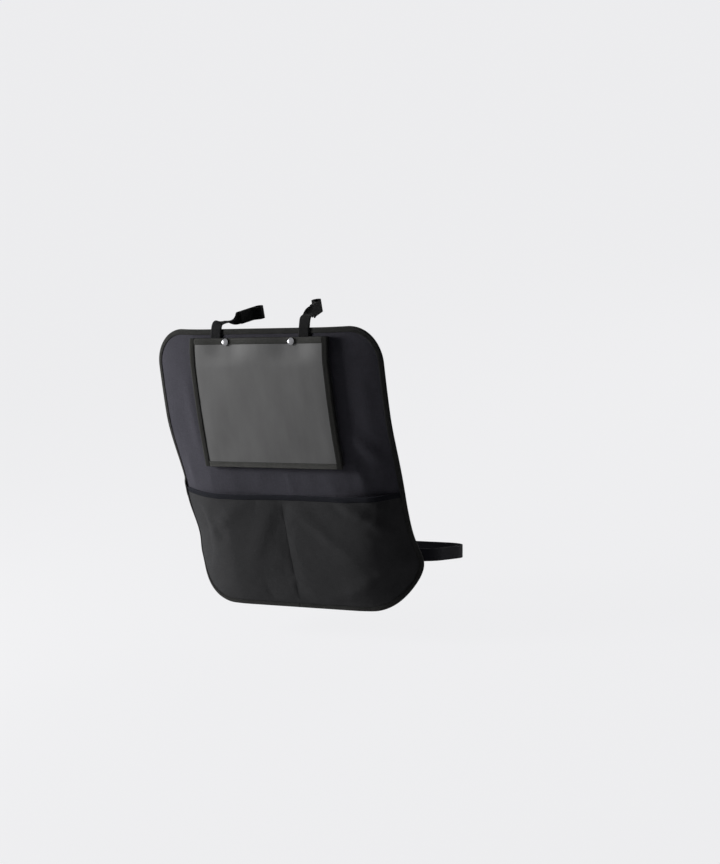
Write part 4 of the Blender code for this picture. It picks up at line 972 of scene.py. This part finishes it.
# Along the loop from the shoulder: where it starts, its eye, and the neck where it closes on its patches
LOOP_START, EYE_START, EYE_RADIUS = 0.028, 0.075, 0.00875
NECK_START, NECK_RADIUS, NECK_GAP = 0.058, 0.00595, 0.0048
PATCH_LENGTH, PATCH_WIDTH, PATCH_THICKNESS, PATCH_MIDDLE = 0.027, 0.024, 0.00105, 0.043
BOX_HALF_WIDTH, BOX_HALF_HEIGHT, BOX_V, STRAP_STITCHES = 0.0095, 0.0075, 0.2755, 0.0059

webbing = woven("strap_webbing", (0.036, 0.036, 0.037), 0.0007, 0.9, rib=0.0016)


def rounded_route(corners, turn_step=math.radians(6)):
    """A plane route through (x, y, radius) corners, each rounded by its radius."""
    points = [Vector(corners[0][:2])]
    for before, corner, after in zip(corners, corners[1:], corners[2:]):
        middle = Vector(corner[:2])
        arriving = (middle - Vector(before[:2])).normalized()
        leaving = (Vector(after[:2]) - middle).normalized()
        turn = arriving.angle_signed(leaving)
        start = middle - arriving * corner[2] * math.tan(abs(turn) / 2)
        hub = start + Vector((-arriving.y, arriving.x)) * (-1 if turn > 0 else 1) * corner[2]
        count = max(2, math.ceil(abs(turn) / turn_step))
        for i in range(count + 1):
            spoke = start - hub
            spoke.rotate(Matrix.Rotation(-turn * i / count, 2))
            points.append(hub + spoke)
    points.append(Vector(corners[-1][:2]))
    return [point for i, point in enumerate(points) if i == 0 or (point - points[i - 1]).length > 1e-6]


def with_runs(route):
    """Each point of a plane route, with the direction that the route takes there."""
    for i, point in enumerate(route):
        nearby = route[max(i - 1, 0) : i + 2]
        yield point, (nearby[-1] - nearby[0]).normalized()


def band(name, centres, faces, finish, nodes, piece_step=0.0025):
    """Webbing laid along centres, its broad side facing faces, cut at even steps of its length."""
    centres = np.array([tuple(point) for point in centres])
    faces = np.array([tuple(normal) for normal in faces])
    reach = np.concatenate([[0], np.cumsum(np.linalg.norm(np.diff(centres, axis=0), axis=1))])
    count = int(reach[-1] / piece_step)

    def pattern(x, y):
        return (x + 0.5) * reach[-1], y * WEBBING_WIDTH

    def between(s, stations):
        return np.stack([np.interp(s, reach, stations[:, k]) for k in range(3)], axis=-1)

    def shape(s, across):
        s = np.clip(s, 0, reach[-1])
        run = between(s + 0.0006, centres) - between(s - 0.0006, centres)
        run /= np.linalg.norm(run, axis=1, keepdims=True)
        face = between(s, faces)
        face -= run * np.sum(face * run, axis=1, keepdims=True)
        face /= np.linalg.norm(face, axis=1, keepdims=True)
        return between(s, centres) + np.cross(face, run) * across[:, None]

    return cloth_piece(name, count, 8, pattern, shape, WEBBING_THICKNESS, finish, nodes)


def tufted(name, scale, colour, strength):
    """The pile of hook or loop tape, painted lighter on its tufts and darker between them: painted light and
    painted shade.
    """
    material, nodes, links = new_finish(name)
    tufts = nodes.new("ShaderNodeTexVoronoi")
    tufts.inputs["Scale"].default_value = scale
    links.new(nodes.new("ShaderNodeTexCoord").outputs["Object"], tufts.inputs["Vector"])
    gap = tufts.outputs["Distance"]
    # Painted light and shade: the tufts' tips are lighter and the hollows between them darker
    tip_painted_light, gap_painted_shade = [1.6 * part for part in colour], [0.5 * part for part in colour]
    surface, pile = graded(nodes, links, gap, tip_painted_light, gap_painted_shade, gap, (0.95, 0.95), gap, strength, 0.0006)
    pile.invert = True
    surface.inputs["Sheen Weight"].default_value = 0.3
    return material


hook = tufted("hook_tape", 900, (0.012, 0.012, 0.012), 1.0)
loop_pile = tufted("loop_tape", 420, (0.018, 0.018, 0.019), 0.8)

# The box stitch: a square with its two diagonals, of half width 1
box_across, box_up = [], []
box_corners = ((-1, -1), (1, -1), (1, 1), (-1, 1), (-1, -1), (1, 1), (1, -1), (-1, 1))
for start, end in zip(box_corners, box_corners[1:]):
    for t in np.linspace(0, 1, 8)[:-1]:
        box_across.append(start[0] + (end[0] - start[0]) * t)
        box_up.append(start[1] + (end[1] - start[1]) * t)


def patch_pattern(x, y):
    corner = 0.003
    return rounded_corners(
        x * PATCH_LENGTH, y * PATCH_WIDTH, PATCH_LENGTH / 2, PATCH_WIDTH / 2, corner, corner
    )


for side, name in ((-1, "left"), (1, "right")):
    lean = math.radians(STRAP_LEAN)
    ahead = Vector((-side * math.sin(lean), math.cos(lean), 0))
    inward = Vector((-side * math.cos(lean), -math.sin(lean), 0))
    # It is sewn flat on the mat up to the top edge
    sewn_v = np.linspace(0.266, HALF_HEIGHT, 6)
    spots, outs = laid(0 * sewn_v + side * STRAP_U, sewn_v, 0 * sewn_v + STRAP_RISE)
    centres, faces = [Vector(spot) for spot in spots], [Vector(out) for out in outs]
    upward = (centres[-1] - centres[-2]).normalized()
    shoulder = centres[-1] + ahead * SHOULDER_REACH
    shoulder.z = SHOULDER_LEVEL[name]
    # It bends forward to lie flat, and then turns on edge
    bend = (centres[-1], centres[-1] + upward * BEND_PULL, shoulder - ahead * BEND_PULL, shoulder)
    for t in np.linspace(0, 1, 17)[1:]:
        weights = ((1 - t) ** 3, 3 * t * (1 - t) ** 2, 3 * t * t * (1 - t), t**3)
        centres.append(sum((point * weight for point, weight in zip(bend, weights)), Vector()))
        faces.append(Vector(outs[0]).lerp(Vector((0, 0, 1)), float(eased(t))))
    for t in np.linspace(0, 1, 15)[1:]:
        centres.append(shoulder + ahead * TURN_LENGTH * t)
        turn = math.pi / 2 * float(eased(t))
        faces.append(Vector((0, 0, math.cos(turn))) - inward * math.sin(turn))
    # It goes round the eye and back to where it started
    route = rounded_route(
        (
            (LOOP_START, 0, 0),
            (EYE_START + EYE_RADIUS, 0, EYE_RADIUS),
            (EYE_START + EYE_RADIUS, 2 * EYE_RADIUS, EYE_RADIUS),
            (NECK_START + 0.01224, 2 * EYE_RADIUS, NECK_RADIUS),
            (NECK_START + 0.00374, NECK_GAP, NECK_RADIUS),
            (LOOP_START, NECK_GAP, 0),
        )
    )[1:]
    for point, run in with_runs(route):
        centres.append(shoulder + ahead * point.x + inward * point.y)
        faces.append(ahead * run.y - inward * run.x)
    band(f"upper_strap_webbing_{name}", centres, faces, webbing, [f"upper_strap_{name}"])
    for kind, finish, low in (("loop", loop_pile, 0.00105), ("hook", hook, 0.00255)):

        def patch_shape(along, across, low=low):
            uneven = 0.00008 * np.sin(along / 0.0011) * np.sin(across / 0.0013)
            flat = np.outer(along + PATCH_MIDDLE, ahead) + np.outer(low + 0.0006 + uneven, inward)
            return np.array(shoulder) + flat + np.outer(across, (0, 0, 1))

        cloth_piece(
            f"{kind}_tape_{name}",
            24,
            22,
            patch_pattern,
            patch_shape,
            PATCH_THICKNESS,
            finish,
            [f"strap_{kind}_patch_{name}"],
        )
    box_u = side * STRAP_U + BOX_HALF_WIDTH * np.array(box_across)
    box_v = BOX_V + BOX_HALF_HEIGHT * np.array(box_up)
    seam_on_mat(f"strap_box_stitch_{name}", box_u, box_v, np.full(len(box_u), STRAP_STITCHES))
    seam_on_mat(
        f"strap_box_stitch_back_{name}", box_u, box_v, np.full(len(box_u), BACK_STITCH_RISE), way=-1
    )

# Elastic girdle
# Two lengths of smooth black elastic, 25 mm wide, box-stitched to the back of the mat near its lower corners.
# They come forward and meet in the middle, where each is threaded through one half of the buckle.

elastic = woven("girdle_elastic", (0.010, 0.010, 0.013), 0.0009, 0.5, roughness=0.62, rib=0.0022)
slope, wrap = math.radians(16), math.radians(51)
forward = Vector((0, math.cos(slope), -math.sin(slope)))
# Its sewn end lies on the mat's back and runs up it a little inwards, because the girdle slopes
SEWN_V, SEWN_RISE, SEWN_LENGTH, GIRDLE_STITCHES = -0.183, -0.00255, 0.036, -0.0033
# Beyond the mat's edge it goes straight for a little, and then turns forward
edge_run, edge_turn, forward_turn = 0.018, 0.060, 0.075
incline = math.sin(wrap) * math.tan(slope)
edge, sewn_face = (Vector(part) for part in laid(np.array(HALF_WIDTH), np.array(SEWN_V), np.array(SEWN_RISE)))
# How far the buckle's mouth lies from the middle, and the girdle's front from the mat's sewn edge
mouth, front = 0.00665, 0.182
# The threaded elastic stands off the buckle's middle, turns round bars and lies doubled at the housing
stand, bar_turn, fold_turn, doubled = 0.00355, 0.0016, 0.008, 0.0009
near_slot, far_slot = mouth + 0.0077, mouth + 0.0158
housing_slot, housing_bar = 0.0334 - mouth, 0.0396 - mouth
threaded = {
    1: (
        (near_slot, front - 0.00535, bar_turn),
        (near_slot, front + stand, bar_turn),
        (far_slot, front + stand, bar_turn),
        (far_slot, front - stand, bar_turn),
        (far_slot + 0.040, front - stand, 0),
    ),
    -1: (
        (housing_bar + 0.014, front - doubled, fold_turn),
        (housing_bar + 0.003, front - stand, fold_turn),
        (housing_slot, front - stand, bar_turn),
        (housing_slot, front + stand, bar_turn),
        (housing_bar + 0.003, front + stand, fold_turn),
        (housing_bar + 0.014, front + doubled, fold_turn),
        (housing_bar + 0.039, front + doubled, 0),
    ),
}
for side, name in ((-1, "left"), (1, "right")):
    inset = np.linspace(SEWN_LENGTH, 0, 9)[:-1]
    spots, outs = laid(HALF_WIDTH - inset, SEWN_V + incline * inset, 0 * inset + SEWN_RISE)
    centres, faces = [Vector(spot) for spot in spots], [Vector(out) for out in outs]
    route = rounded_route(
        (
            (edge.x, 0, 0),
            (edge.x + edge_run, edge_run * math.tan(wrap), edge_turn),
            (edge.x + edge_run, threaded[side][0][1], forward_turn),
            *threaded[side],
        )
    )
    for point, run in with_runs(route):
        centres.append(Vector((point.x, edge.y, edge.z)) + forward * point.y)
        free = float(eased((point - route[0]).length / SEWN_LENGTH))
        faces.append(sewn_face.lerp(Vector((run.y, 0, 0)) - forward * run.x, free))
    if side < 0:
        centres = [Vector((-point.x, point.y, point.z)) for point in centres]
        faces = [Vector((-normal.x, normal.y, normal.z)) for normal in faces]
    node = f"lower_elastic_{name}"
    band(f"girdle_elastic_{name}", centres, faces, elastic, [node], piece_step=0.0015)
    # Its box stitch, 24.5 mm in from the mat's edge at its middle
    inward, aside = 0.0245 + 0.0080 * np.array(box_across), 0.0085 * np.array(box_up)
    box_u = side * (HALF_WIDTH - inward + incline * aside)
    box_v = SEWN_V + incline * inward + aside
    seam_on_mat(f"girdle_box_stitch_{name}", box_u, box_v, np.full(len(box_u), GIRDLE_STITCHES), way=-1)

# Side release buckle
# Two black acetal mouldings. The plug's two springy prongs catch in the windows of the housing's sides, and
# a bar at each end takes the elastic.

acetal, nodes, links = new_finish("black_acetal")
place = nodes.new("ShaderNodeTexCoord").outputs["Object"]
spark = noise_on(nodes, links, place, 2600)
wear = noise_on(nodes, links, place, 120)
dark, light = (0.012, 0.012, 0.013), (0.022, 0.022, 0.023)
graded(nodes, links, wear, dark, light, wear, (0.34, 0.52), spark, 0.2, 0.0001)
for name in ("buckle_housing", "buckle_plug"):
    faced(name, acetal)
